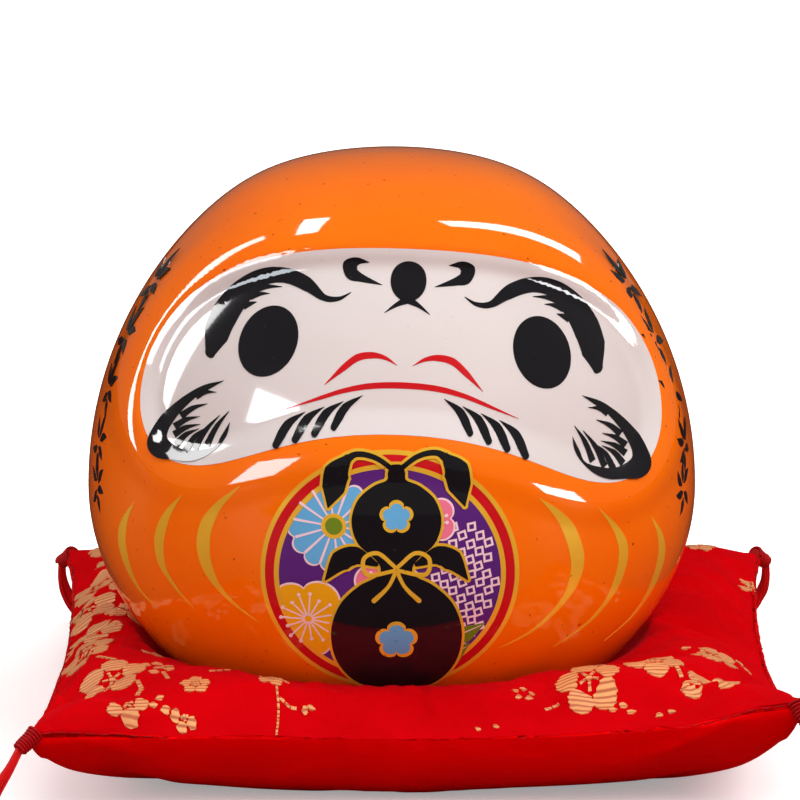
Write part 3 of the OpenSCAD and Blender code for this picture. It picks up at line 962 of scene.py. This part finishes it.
for name, extra, look, top in (("emblem_gold_edge", 0.55, gold_lustre, 0.34),
                               ("emblem_black", 0.0, black_enamel, 0.40)):
    bm = bmesh.new()
    flat_patch(bm, even_points(grown(gourd, extra), 0.6)[:-1])
    for line, halves in emblem_leaves:
        flat_stroke(bm, line, [h + extra for h in halves], round_start=True, round_end=True)
    painted(name, bm, look, top)
bm = bmesh.new()
for line, halves in emblem_cords:
    flat_stroke(bm, line, halves, round_end=True)
for cz, r in ((19.6, 4.3), (45.4, 3.4)):
    flat_patch(bm, lobed(EMBLEM_X, cz, r, 5, 90, 0.28, 80))
painted("emblem_blossoms", bm, gold_lustre, 0.43)
bm = bmesh.new()
for cz, r in ((19.6, 3.5), (45.4, 2.7)):
    flat_patch(bm, lobed(EMBLEM_X, cz, r, 5, 90, 0.28, 80))
painted("emblem_blossom_fill", bm, blue_enamel, 0.46)

# %% [markdown]
# ## Sprigs down the sides
# A column of small black bamboo sprigs is brushed down each side of the doll, just past the face.

# %% Side sprigs
leaf_fan = [(0, 0, 75, 7.4), (0.8, -0.4, 28, 5.8), (-0.7, -0.2, 128, 6.2), (0.3, -1.8, -22, 5.4),
            (-0.4, -2.0, 203, 5.6), (0.1, -3.0, -82, 5.0)]
for name, turn, mirror in (("left_sprigs", -75.5, 1), ("right_sprigs", 73.5, -1)):
    bm = bmesh.new()
    for k, height in enumerate((83, 72.5, 62, 51, 42.5)):
        tilt = (10, -14, 6, -8, 24)[k]
        drift = (-1.6, -0.8, 0.4, 0.2, 2.2)[k] * mirror
        for x, z, angle, length in leaf_fan:
            a = math.radians(angle + tilt) if mirror > 0 else math.radians(180 - angle - tilt)
            root = np.array([drift + x * mirror, height + z])
            tip = root + length * 0.78 * np.array([math.cos(a), math.sin(a)])
            bend = (root + tip) / 2 + 0.35 * np.array([-math.sin(a), math.cos(a)])
            flat_stroke(bm, [root, bend, tip], [0.16, 0.95, 0.7, 0.03])
    painted(name, bm, black_enamel, 0.06, wrap=around_side(turn))

# %% [markdown]
# ## The stopper
# The bank is emptied through a soft rubber stopper in the base, which stays as the frame has it.

# %% Rubber
stopper_rubber = glaze("stopper_rubber", srgb(52, 50, 50), srgb(40, 38, 38), 0.62,
                       speck=srgb(84, 80, 76), bump=0.4)
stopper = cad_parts["base_stopper"]
stopper.data.materials.clear()
stopper.data.materials.append(stopper_rubber)

# %% [markdown]
# ## The cushion
# Two square panels, brocade on top and plain satin below, are sewn together inside out, turned
# and stuffed with wadding. The stuffing makes the sides pull in between the corners, the doll's
# weight presses a dent into the middle, and the sewn edge draws up in small puckers. It can be
# made like that too: a pillow laid out in rings from under the doll to the seam, blown up a
# little by a cloth simulation, and then drawn in along the seam.

# %% The pillow's rest shape
TIP = 76.0
SPOKES = 216
UNDER_RINGS = 9
PAD_RINGS = 22
BASE_PUFF = 0.45
BASE_CALM = 0.55
FOOT_R = float(turned_radius(FOOT_EDGE)) - FOOT_EDGE
RIM_R = FOOT_R + 9
DOLL_FOOT = np.array([DOLL_X, 0.0])


def seam_reach(angle):
    """Distance of the seam from the cushion's middle."""
    c, s = abs(math.cos(angle)), abs(math.sin(angle))
    share = min(c, s) / max(c, s)
    return (TIP - 3.5 * (1 - share * share)) / max(c, s)


def seam_height(x, y):
    """Height of the seam above the table; the front right corner stands up."""
    return 17.0 + 6.5 * (max(0.0, x) / TIP) ** 2 * (max(0.0, -y) / TIP) ** 2


def doll_underside(r):
    """Height above the table of the doll's side at a radius, for what lies under it."""
    share = min(r, BELLY_R) / BELLY_R
    return SIT_Z + max(0.0, BELLY_Z - UNDER_DEPTH * math.sqrt(max(0.0, 1 - share ** 1.5)))


def pillow_point(ring, angle, top):
    """A place on the pillow, and its share of the way from the doll's rim to the seam."""
    way = np.array([math.cos(angle), math.sin(angle)])
    share = 0.0
    if ring <= UNDER_RINGS:
        place = DOLL_FOOT + way * RIM_R * ring / UNDER_RINGS
    else:
        share = math.sin(math.pi / 2 * (ring - UNDER_RINGS) / PAD_RINGS) ** 0.9
        inner = DOLL_FOOT + way * RIM_R
        place = inner + share * (seam_reach(angle) * way - inner)
    level = seam_height(place[0], place[1])
    if top:
        crown = level + 0.8 + 3.5 * (1 - share * share) ** 0.8 - 0.8 * share ** 8
        held = doll_underside(max(0.0, np.linalg.norm(place - DOLL_FOOT) - 2)) - 0.4
        return (place[0], place[1], min(crown, held)), share
    return (place[0], place[1], level * (1 - math.sqrt(1 - share ** 1.5)) + 0.05), share


def pillow_rings(top):
    """The pillow's half as rings of places, from its middle to the seam."""
    angles = [2 * math.pi * j / SPOKES + math.pi / 4 for j in range(SPOKES)]
    rings = range(1, UNDER_RINGS + PAD_RINGS + 1)
    return [[pillow_point(ring, a, top) for a in angles] for ring in rings]


def sewn_pillow():
    """The closed pillow: rings of points joined by bridges, top and base sharing the seam."""
    bm = bmesh.new()
    share_layer = bm.verts.layers.float.new("share")
    side_layer = bm.verts.layers.float.new("side")
    tops, bases = pillow_rings(True), pillow_rings(False)
    loops = []
    for side, rings in ((1.0, tops), (-1.0, bases[-2::-1])):
        for ring in rings:
            made = bmesh.ops.create_circle(bm, segments=SPOKES, radius=1)["verts"]
            for vert, (place, share) in zip(made, ring):
                vert.co = place
                vert[share_layer] = share
                vert[side_layer] = side
            loops.append(made)
    for a, b in zip(loops, loops[1:]):
        pair = {e for v in a + b for e in v.link_edges if all(u in a or u in b for u in e.verts)}
        rims = [e for e in pair if (e.verts[0] in a) == (e.verts[1] in a)]
        bmesh.ops.bridge_loops(bm, edges=rims)
    bmesh.ops.holes_fill(bm, edges=[e for e in bm.edges if e.is_boundary], sides=0)
    for face in [f for f in bm.faces if len(f.verts) > 4]:
        bmesh.ops.poke(bm, faces=[face])
    bmesh.ops.recalc_face_normals(bm, faces=bm.faces)
    return bm


# %% Blowing the pillow up with the doll's weight on it
def puffed(bm, pressure=3.5, most=2.6, frames=18):
    """Cloth under a little air pressure, held under the doll and at the seam's corners."""
    mesh = bpy.data.meshes.new("pillow_cloth")
    for vert in bm.verts:
        vert.co = vert.co * 0.001
    bm.to_mesh(mesh)
    made = bpy.data.objects.new("pillow_cloth", mesh)
    bpy.context.collection.objects.link(made)
    rest = np.array([v.co[:] for v in mesh.vertices])
    share = np.array([d.value for d in mesh.attributes["share"].data])
    held = made.vertex_groups.new(name="held")
    for k, s in enumerate(share):
        corner = max(0.0, abs(rest[k, 0]) + abs(rest[k, 1]) - 0.135) / 0.015
        grip = 1.0 if s < 0.02 else min(1.0, corner) * (s > 0.9)
        if grip > 0:
            held.add([k], grip, "REPLACE")
    cloth = made.modifiers.new("cloth", "CLOTH")
    cloth.settings.quality = 6
    cloth.settings.mass = 0.25
    cloth.settings.tension_stiffness = 12
    cloth.settings.compression_stiffness = 8
    cloth.settings.bending_stiffness = 0.25
    cloth.settings.vertex_group_mass = "held"
    cloth.settings.use_pressure = True
    cloth.settings.uniform_pressure_force = pressure
    cloth.settings.effector_weights.gravity = 0
    cloth.settings.shrink_min = -0.035
    cloth.point_cache.frame_start = 1
    cloth.point_cache.frame_end = frames
    for step in range(1, frames + 1):
        bpy.context.scene.frame_set(step)
    moved = np.array([v.co[:] for v in baked(made).data.vertices])
    bpy.context.scene.frame_set(1)
    drift = (moved - rest) * 1000
    size = np.maximum(np.linalg.norm(drift, axis=1, keepdims=True), 1e-9)
    drift *= np.minimum(1, most / size)
    sideways = np.maximum(np.linalg.norm(drift[:, :2], axis=1, keepdims=True), 1e-9)
    drift[:, :2] *= np.minimum(1, 1.0 / sideways)
    side = np.array([d.value for d in mesh.attributes["side"].data])
    drift[side < 0] *= BASE_PUFF
    bpy.data.objects.remove(made)
    print("cloth moved", round(float(size.mean()), 2), "mm on average, most", round(float(size.max()), 2))
    for vert, place, by in zip(bm.verts, rest, drift):
        vert.co = Vector(place * 1000 + by)
    return bm


bm = sewn_pillow()
puffed(bm)
share_layer = bm.verts.layers.float["share"]
side_layer = bm.verts.layers.float["side"]
bmesh.ops.subdivide_edges(bm, edges=[e for e in bm.edges if max(v[share_layer] for v in e.verts) > 0.02],
                          cuts=1, use_grid_fill=True, smooth=0.3)
bmesh.ops.recalc_face_normals(bm, faces=bm.faces)
print("pillow faces:", len(bm.faces))


# %% [markdown]
# The seam is drawn in: a narrow groove all round, with a pucker at every few stitches, longer
# folds running in from the corners, and soft waves where the stuffing is uneven. The cushion
# rests flat on the table in the middle only. The satin below is drawn tighter than the brocade,
# so it swells less, folds less and is smoothed more often.

# %% Seam groove, puckers and folds
def draw_in(place, share, side):
    """Moves one point of the filled pillow for the sewing and the stuffing."""
    x, y, z = place
    far = max(math.hypot(x, y), 1e-6)
    out = Vector((x / far, y / far, 0))
    angle = math.atan2(y, x)
    reach = seam_reach(angle)
    from_seam = max(0.0, reach - far) + (0 if side == 0 else abs(z - seam_height(x, y)) * 0.8)
    along = far * angle
    waves = noise.noise(Vector((x * 0.045, y * 0.045, side * 3.0)))
    ripple = noise.noise(Vector((math.cos(angle) * 26, math.sin(angle) * 26, side * 5 + 1)))
    stitch = noise.noise(Vector((along * 0.45, side * 7.0, 2.0)))
    near = math.exp(-from_seam / 5.5)
    grow = Vector((0, 0, side)) * (1 - near * 0.5) + out * near * 0.8
    free = float(smooth(share / 0.25))
    diagonal = max(abs(math.cos(angle)), abs(math.sin(angle)))
    corner = max(0.0, 1 - (diagonal - 0.7071) / 0.13)
    fold = noise.noise(Vector((angle * 34, share * 1.5, side * 9.0)))
    moved = Vector(place)
    grow *= 1.0 if side > 0 else BASE_CALM
    moved += grow * (0.9 * waves * free)
    moved += grow * (0.75 * ripple * near * free)
    moved += grow * (0.35 * stitch * math.exp(-from_seam / 2.2) * free)
    moved += grow * (1.3 * fold * corner * free * math.exp(-from_seam / 14))
    moved -= out * (1.15 * math.exp(-(from_seam / 0.95) ** 2)) * free
    if share > 0.985 and side >= 0:
        moved.z -= 0.15
    moved.z = max(moved.z, 0.0)
    return moved


for vert in bm.verts:
    vert.co = draw_in(vert.co[:], vert[share_layer], vert[side_layer])
seam_path = sorted((math.atan2(v.co.y, v.co.x), v.co.copy()) for v in bm.verts
                   if v[share_layer] > 0.9999)
print("seam points:", len(seam_path))
for rounds, side in ((1, 1), (5, -1)):
    for _ in range(rounds):
        evened = [v for v in bm.verts if 0.03 < v[share_layer] < 0.93 and v[side_layer] == side]
        bmesh.ops.smooth_vert(bm, verts=evened, factor=0.4,
                              use_axis_x=True, use_axis_y=True, use_axis_z=True)


# %% Cutting the pillow into its two panels along the seam
def panel(source, name, side, look, node):
    """One panel of the pillow, as a sheet with its own thickness."""
    bm = source.copy()
    side_of = bm.verts.layers.float["side"]
    share_of = bm.verts.layers.float["share"]
    drop = [f for f in bm.faces
            if side * sum(v[side_of] * (v[share_of] < 0.999) for v in f.verts) < 0]
    bmesh.ops.delete(bm, geom=drop, context="FACES")
    made = piece(name, bm, "cushion", look, sharp=70)
    wall = made.modifiers.new("cloth thickness", "SOLIDIFY")
    wall.thickness = 0.0005
    wall.offset = -1
    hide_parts(node)
    return slotted(made)


brocade_panel = panel(bm, "brocade_panel", 1, brocade_satin, "cushion_top")
satin_panel = panel(bm, "satin_panel", -1, cushion_satin, "cushion_base")
print("panels:", len(brocade_panel.data.polygons), len(satin_panel.data.polygons))

# %% The wadding inside, a lumpy copy held back from the cloth
for vert in bm.verts:
    x, y, z = vert.co
    lumps = noise.noise(Vector((x * 0.16, y * 0.16, z * 0.3)))
    edge = float(smooth((vert[share_layer] - 0.45) / 0.55))
    vert.co.x *= 1 - 0.08 * edge
    vert.co.y *= 1 - 0.08 * edge
    above_seam = (z - seam_height(x, y)) * (1 - 0.6 * edge)
    vert.co.z = seam_height(vert.co.x, vert.co.y) + above_seam
    vert.co.z -= vert[side_layer] * (1.8 + 0.4 * lumps) * (1 - edge)
wadding = piece("wadding", bm, "cushion", wadding_white)
keep_less = wadding.modifiers.new("thin out", "DECIMATE")
keep_less.ratio = 0.35
baked(wadding)
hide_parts("cushion_filling")
slotted(wadding)
print("wadding:", len(wadding.data.polygons))

# %% [markdown]
# ## Gold blossoms in the brocade
# The brocade's plum blossoms are floats of gold thread that lie over the satin, so they follow
# the cloth and stand a hair above it. Their edges are stepped, because each float is one straight
# stitch across.

# %% Laying motifs on the cloth
cloth_now = bmesh.new()
cloth_now.from_mesh(brocade_panel.data)
cloth_tree = BVHTree.FromBMesh(cloth_now)


def on_cloth(x, y, lift):
    """Places on the brocade straight under each x, y, raised by lift. All in millimetres."""
    laid = []
    for across, back, up in zip(x, y, lift):
        spot, way, _, _ = cloth_tree.ray_cast(Vector((across, back, 60)) * 0.001, Vector((0, 0, -1)))
        if spot is None:
            spot, way, _, _ = cloth_tree.find_nearest(Vector((across, back, 20)) * 0.001)
        laid.append(spot * 1000 + way * up)
    return np.array([p[:] for p in laid])


def wrap_floats(x, z, lift):
    """Wrapping for flat motifs whose second measure runs back across the cushion."""
    return on_cloth(x, z, lift) - (DOLL_X, 0, SIT_Z)


def stepped(outline, seed):
    """An outline with the small steps that the floats leave."""
    outline = even_points(np.concatenate([outline, outline[:1]]), 0.42)[:-1]
    rows = np.round(outline[:, 1] / 0.42)
    jog = 0.2 * np.sin(rows * 2.399 + seed) + 0.1 * np.sin(rows * 5.1 + seed * 2)
    return outline + np.stack([jog, np.zeros(len(jog))], axis=1)


def blossom(bm, cx, cy, radius, turn=0.0, stretch=1.35, skip=()):
    """A plum blossom: five round petals, an open heart, a small ring and stamens in it."""
    for k in range(5):
        if k in skip:
            continue
        angle = math.radians(turn + 72 * k)
        out = radius * 0.62
        t = np.linspace(0, 2 * math.pi, 30, endpoint=False)
        toward = np.cos(t - angle)
        rim = radius * 0.40 * (1 - 0.34 * np.maximum(0, -toward) ** 2)
        petal = np.stack([cx + out * math.cos(angle) + rim * np.cos(t),
                          cy + (out * math.sin(angle) + rim * np.sin(t)) * stretch], axis=1)
        flat_patch(bm, stepped(petal, k + cx))
        stamen = np.array([math.cos(angle + 0.5), math.sin(angle + 0.5) * stretch])
        inner = [(cx, cy) + radius * s * stamen for s in (0.12, 0.2, 0.3)]
        flat_stroke(bm, inner, [0.3, 0.26, 0.34])
    flat_patch(bm, ellipse(cx, cy, radius * 0.1, radius * 0.1 * stretch, count=10))


def buds(bm, cx, cy, places, size):
    """A loose cluster of small buds."""
    for k, (dx, dy) in enumerate(places):
        bud = ellipse(cx + dx, cy + dy * 1.3, size, size * 1.2, turn=k * 40, count=20)
        flat_patch(bm, stepped(bud, k))


def twig(bm, line, half):
    """A broken line of short floats, as a stem is woven."""
    path = even_points(soft_curve(line, 6), 1.5)
    for a, b in zip(path[:-1], path[1:]):
        flat_stroke(bm, [a, (a + b) / 2, b * 0.82 + a * 0.18], [half, half, half])


ring_of_five = [(0, 1.6), (1.6, 0.5), (1, -1.4), (-1, -1.4), (-1.6, 0.5)]
loose_five = [(-2.4, 1.4), (0, 2.2), (2.2, 1.2), (0.6, -0.4), (2.6, -1.6)]
bm = bmesh.new()
for spec in ((-60.4, -50.5, 6.6, 15), (34.5, -57.5, 6.4, 30), (47.5, -48.5, 6.0, -10),
             (58.5, -60.0, 5.8, 50, 1.35, (3,)), (38.5, -44.5, 4.6, 10, 1.2, (4,)),
             (-56.8, -67.5, 4.2, 70, 1.2, (0, 1)), (-43.5, -60.5, 2.9, 20),
             (-45.5, -69.2, 2.6, -30, 1.1, (1, 2)), (-28.2, -56.5, 3.0, 0),
             (60.5, -35.5, 4.6, 40), (69.5, -47.5, 3.8, 10, 1.3, (0,)),
             (-66.5, -8, 6.2, 0), (-68.0, 14, 6.0, 36), (-59.8, 6.5, 4.6, 20), (-67.0, 33, 5.6, 10),
             (-58.8, 25, 5.4, 50), (-66.5, -27, 5.4, 24), (-63.5, 49, 5.0, 0), (-54, 42, 5.0, 30),
             (-52.5, -31, 3.2, 12), (-66, 64, 4.6, 12), (-46, 60, 5.2, 44), (-24, 64, 6.0, 4),
             (2, 66, 6.0, 30), (27, 62, 5.8, 14), (62, 64.5, 3.4, 8), (71.5, 47, 3.0, 30, 1.2, (2,))):
    blossom(bm, *spec)
for cx, cy, places, size in (
        (-51.6, -48.5, loose_five + [(-0.4, -2.8)], 0.95),
        (-46.0, -62.0, [(-4.4, -3.0), (-5.6, -4.6), (-3.2, -5.2)], 0.75),
        (40.8, -65.5, [(-1.8, 0.6), (0.4, 1.4), (1.8, -0.4)], 0.75),
        (49.5, -68.0, [(-1.4, 0.2), (1.0, 0.8)], 0.7),
        (60.5, -34.5, [(5.2, 3.2), (6.6, 1.4), (-5.6, 2.8)], 0.8),
        (21.5, -60.0, ring_of_five, 0.55),
        (14.0, -69.0, [(-1.6, 0), (1.9, 0.2)], 0.5),
        (9.0, 58.0, loose_five, 0.9),
        (-21.8, -65.0, [(0, 0), (1.2, 0.3)], 0.6)):
    buds(bm, cx, cy, places, size)
for line, half in (([(-27.6, -59.5), (-27.0, -65), (-27.3, -71.5)], 0.22),
                   ([(-26.8, -62.8), (-24.6, -64.4), (-23.2, -64.6)], 0.3),
                   ([(-55.2, -56.5), (-54.2, -60), (-55.0, -63.5)], 0.45),
                   ([(-50.2, -52.6), (-49.0, -57)], 0.4),
                   ([(-41, -52.6), (-36.5, -52.0)], 0.3),
                   ([(52, -52), (53, -57)], 0.4),
                   ([(28.5, -62.5), (25.4, -64.5)], 0.3),
                   ([(-64, -36), (-60, -41)], 0.4)):
    twig(bm, line, half)
motifs = piece("gold_blossoms", wrap_paint(bm, 0.22, under=-0.1, cell=1.6, wrap=wrap_floats),
               "cushion", brocade_gold)
slotted(motifs)
print("brocade floats:", len(motifs.data.polygons))


# %% [markdown]
# ## Thread along the seam
# The two panels are joined by small running stitches, which just show as dark dimples where the
# seam turns under.

# %% Threads from lines
def threads(name, lines, radius, widths=None):
    """Round threads along lines of places in millimetres, joined as one mesh."""
    curve = bpy.data.curves.new(name, "CURVE")
    curve.dimensions = "3D"
    curve.bevel_depth = radius * 0.001
    curve.bevel_resolution = 1
    curve.use_fill_caps = True
    for line in lines:
        strand = curve.splines.new("POLY")
        strand.points.add(len(line) - 1)
        for k, place in enumerate(line):
            strand.points[k].co = (*(float(v) * 0.001 for v in place), 1)
            strand.points[k].radius = widths[k] if widths is not None else 1.0
    drawn = bpy.data.objects.new(name + "_line", curve)
    bpy.context.collection.objects.link(drawn)
    seen = bpy.context.evaluated_depsgraph_get()
    mesh = bpy.data.meshes.new_from_object(drawn.evaluated_get(seen))
    bpy.data.objects.remove(drawn)
    mesh.name = name
    return mesh


def thread_piece(name, mesh, look):
    """A piece of the cushion from a mesh of threads."""
    for polygon in mesh.polygons:
        polygon.use_smooth = True
    mesh.materials.clear()
    mesh.materials.append(look)
    made = bpy.data.objects.new(name, mesh)
    bpy.context.collection.objects.link(made)
    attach(made, "cushion")
    return slotted(made)


seam_line = np.array([spot[:] for _, spot in seam_path])
seam_out = seam_line * (1, 1, 0)
seam_out /= np.linalg.norm(seam_out, axis=1, keepdims=True)
seam_line = even_points(np.concatenate([seam_line, seam_line[:1]]) +
                        np.concatenate([seam_out, seam_out[:1]]) * 0.12, 0.95)
stitches = [seam_line[k:k + 3] for k in range(0, len(seam_line) - 3, 3)]
thread_piece("seam_stitches", threads("seam_stitches", stitches, 0.17), sewing_thread)
print("stitches:", len(stitches))

# %% [markdown]
# ## The tassels
# Each corner ends in a tassel: a bundle of rayon floss, gathered and bound with thread where it
# leaves the corner, that falls over the cushion's edge and lies on the table. The bundle is made
# as its strands, which run side by side, thin at the neck and loosening towards the cut end.

# %% Where each tassel lies
front_left_lie = [(1.5, 1.5, 14.5), (3.5, 3.5, 11), (6, 5.5, 7.5), (8.5, 8, 4), (11.5, 10, 2),
                  (15, 9.5, 1.7), (17, 6, 1.7), (17.5, 2, 1.7), (17.5, -2, 1.7)]
front_right_lie = [(1, 1.5, 19.5), (2, 3, 15), (3, 4.5, 10.5), (4.5, 5.5, 6), (7, 6, 2.5),
                   (11, 5, 1.7), (13.5, 2, 1.7), (14.5, -2, 1.7), (14.5, -5.5, 1.7)]
back_lie = [(1, 1.5, 14.5), (1, 3, 10.5), (0, 4.5, 6.5), (-2.5, 5, 3), (-6, 5, 1.7),
            (-10, 4.5, 1.7), (-14, 4, 1.7), (-18, 4, 1.7), (-22, 4, 1.7)]
tassels = {"front_left": (front_left_lie, -1, -1), "front_right": (front_right_lie, 1, -1),
           "back_left": (back_lie, -1, 1), "back_right": (back_lie, 1, 1)}
FLOSS_D = 3.2


def strand_lines(route):
    """The strands of one tassel, each a line beside the route."""
    way = np.gradient(route, axis=0)
    way /= np.linalg.norm(way, axis=1, keepdims=True)
    side = np.cross(way, [0.2, 0.3, 1])
    side /= np.linalg.norm(side, axis=1, keepdims=True)
    up = np.cross(side, way)
    along = np.linspace(0, 1, len(route))
    full = 0.42 + 0.58 * smooth(along / 0.45) + 0.16 * smooth((along - 0.8) / 0.2)
    lines = []
    for k in range(30):
        far = (FLOSS_D / 2 - 0.16) * math.sqrt((k + 0.5) / 30)
        spin = 2.399 * k + 0.9 * along + 0.25 * np.sin(along * 6 + k)
        beside = far * full * (1 + 0.08 * np.sin(along * 9 + k * 1.7))
        line = route + side * (beside * np.cos(spin))[:, None] + up * (beside * np.sin(spin))[:, None]
        line[:, 2] = np.maximum(line[:, 2], 0.32)
        lines.append(line[: len(route) - (k * 7) % 3])
    return lines


# %% Making the four tassels
for corner, (lie, side, end) in tassels.items():
    points = [(side * (TIP + x), end * (TIP + y), z) for x, y, z in lie]
    route = even_points(soft_curve(points, 8), 0.8)
    length = float(np.sum(np.linalg.norm(np.diff(route, axis=0), axis=1)))
    floss = thread_piece("floss_" + corner, threads("floss_" + corner, strand_lines(route), 0.3),
                         tassel_floss)
    root = np.array([side * (TIP - 1.5), end * (TIP - 1.5), 0.0])
    root[2] = seam_height(root[0], root[1])
    head = np.array(points[0])
    way = (head - root) / np.linalg.norm(head - root)
    across = np.cross(way, (0, 0, 1))
    across /= np.linalg.norm(across)
    over = np.cross(across, way)
    turns = []
    for k in range(120):
        share = k / 119
        a = 2 * math.pi * 7.5 * share
        bulge = 1.62 - 0.35 * share + 0.08 * math.sin(share * 40)
        turns.append(root + (head - root) * (share * 1.04 - 0.02)
                     + (across * math.cos(a) + over * math.sin(a)) * bulge)
    core = [root + (head - root) * s for s in np.linspace(-0.02, 1.02, 6)]
    wound = bmesh.new()
    wound.from_mesh(threads("wound", [turns], 0.3))
    wound.from_mesh(threads("core", [core], 1.35, [1.05, 1.12, 1.1, 1.0, 0.9, 0.8]))
    mesh = bpy.data.meshes.new("binding_" + corner)
    wound.to_mesh(mesh)
    wound.free()
    binding = thread_piece("binding_" + corner, mesh, sewing_thread)
    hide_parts("tassel_floss_" + corner)
    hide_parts("tassel_tie_" + corner)
    print("tassel", corner, "is", round(length, 1), "mm long")

# %% [markdown]
# ## The table
# A pale sweep of paper, which isn't part of the object. Its white is partly painted light: to the
# eye it glows, dimmer near the cushion and brighter further out. Light bounced off it is a painted
# pink, and its reflection in the glaze is a painted dark brown.

# %% Paper
paper = glaze("studio_paper", srgb(250, 249, 248), srgb(246, 245, 244), 0.7, bump=0.05,
              Specular_IOR_Level=0.1)
paper_tree = paper.node_tree
paper_surface = paper_tree.nodes["Principled BSDF"]
paper_rays = paper_tree.nodes.new("ShaderNodeLightPath")
paper_group = [n for n in paper_tree.nodes if n.type == "GROUP"][0]
# Painted light: only the eye sees the paper's own white. Bounced light is a painted pink bounce, and
# glossy rays see a painted dark brown reflection.
paper_painted_bounce = mix(paper_tree, paper_rays.outputs["Is Camera Ray"], srgb(200, 156, 150),
              paper_group.outputs["Color"])
paper_painted_reflection = mix(paper_tree, paper_rays.outputs["Is Glossy Ray"], paper_painted_bounce, srgb(60, 26, 20))
feed(paper_tree, paper_surface.inputs["Base Color"], paper_painted_reflection)
# Painted glow: for the eye the paper gives off light, weaker near the cushion and white further out.
paper_far = paper_tree.nodes.new("ShaderNodeVectorMath")
paper_far.operation = "LENGTH"
feed(paper_tree, paper_far.inputs[0], place_in(paper_tree))
paper_painted_light_ramp = ramp(paper_tree, paper_far.outputs["Value"], 0.09, 0.20, 0.32, 0.9)
paper_painted_glow = maths(paper_tree, "MULTIPLY", paper_painted_light_ramp, paper_rays.outputs["Is Camera Ray"])
feed(paper_tree, paper_surface.inputs["Emission Strength"], paper_painted_glow)
paper_surface.inputs["Emission Color"].default_value = (1, 1, 1, 1)
bm = bmesh.new()
bmesh.ops.create_grid(bm, x_segments=24, y_segments=24, size=3000)
bmesh.ops.translate(bm, verts=bm.verts, vec=(0, 1200, -0.15))
floor = piece("paper_sweep", bm, None, paper)
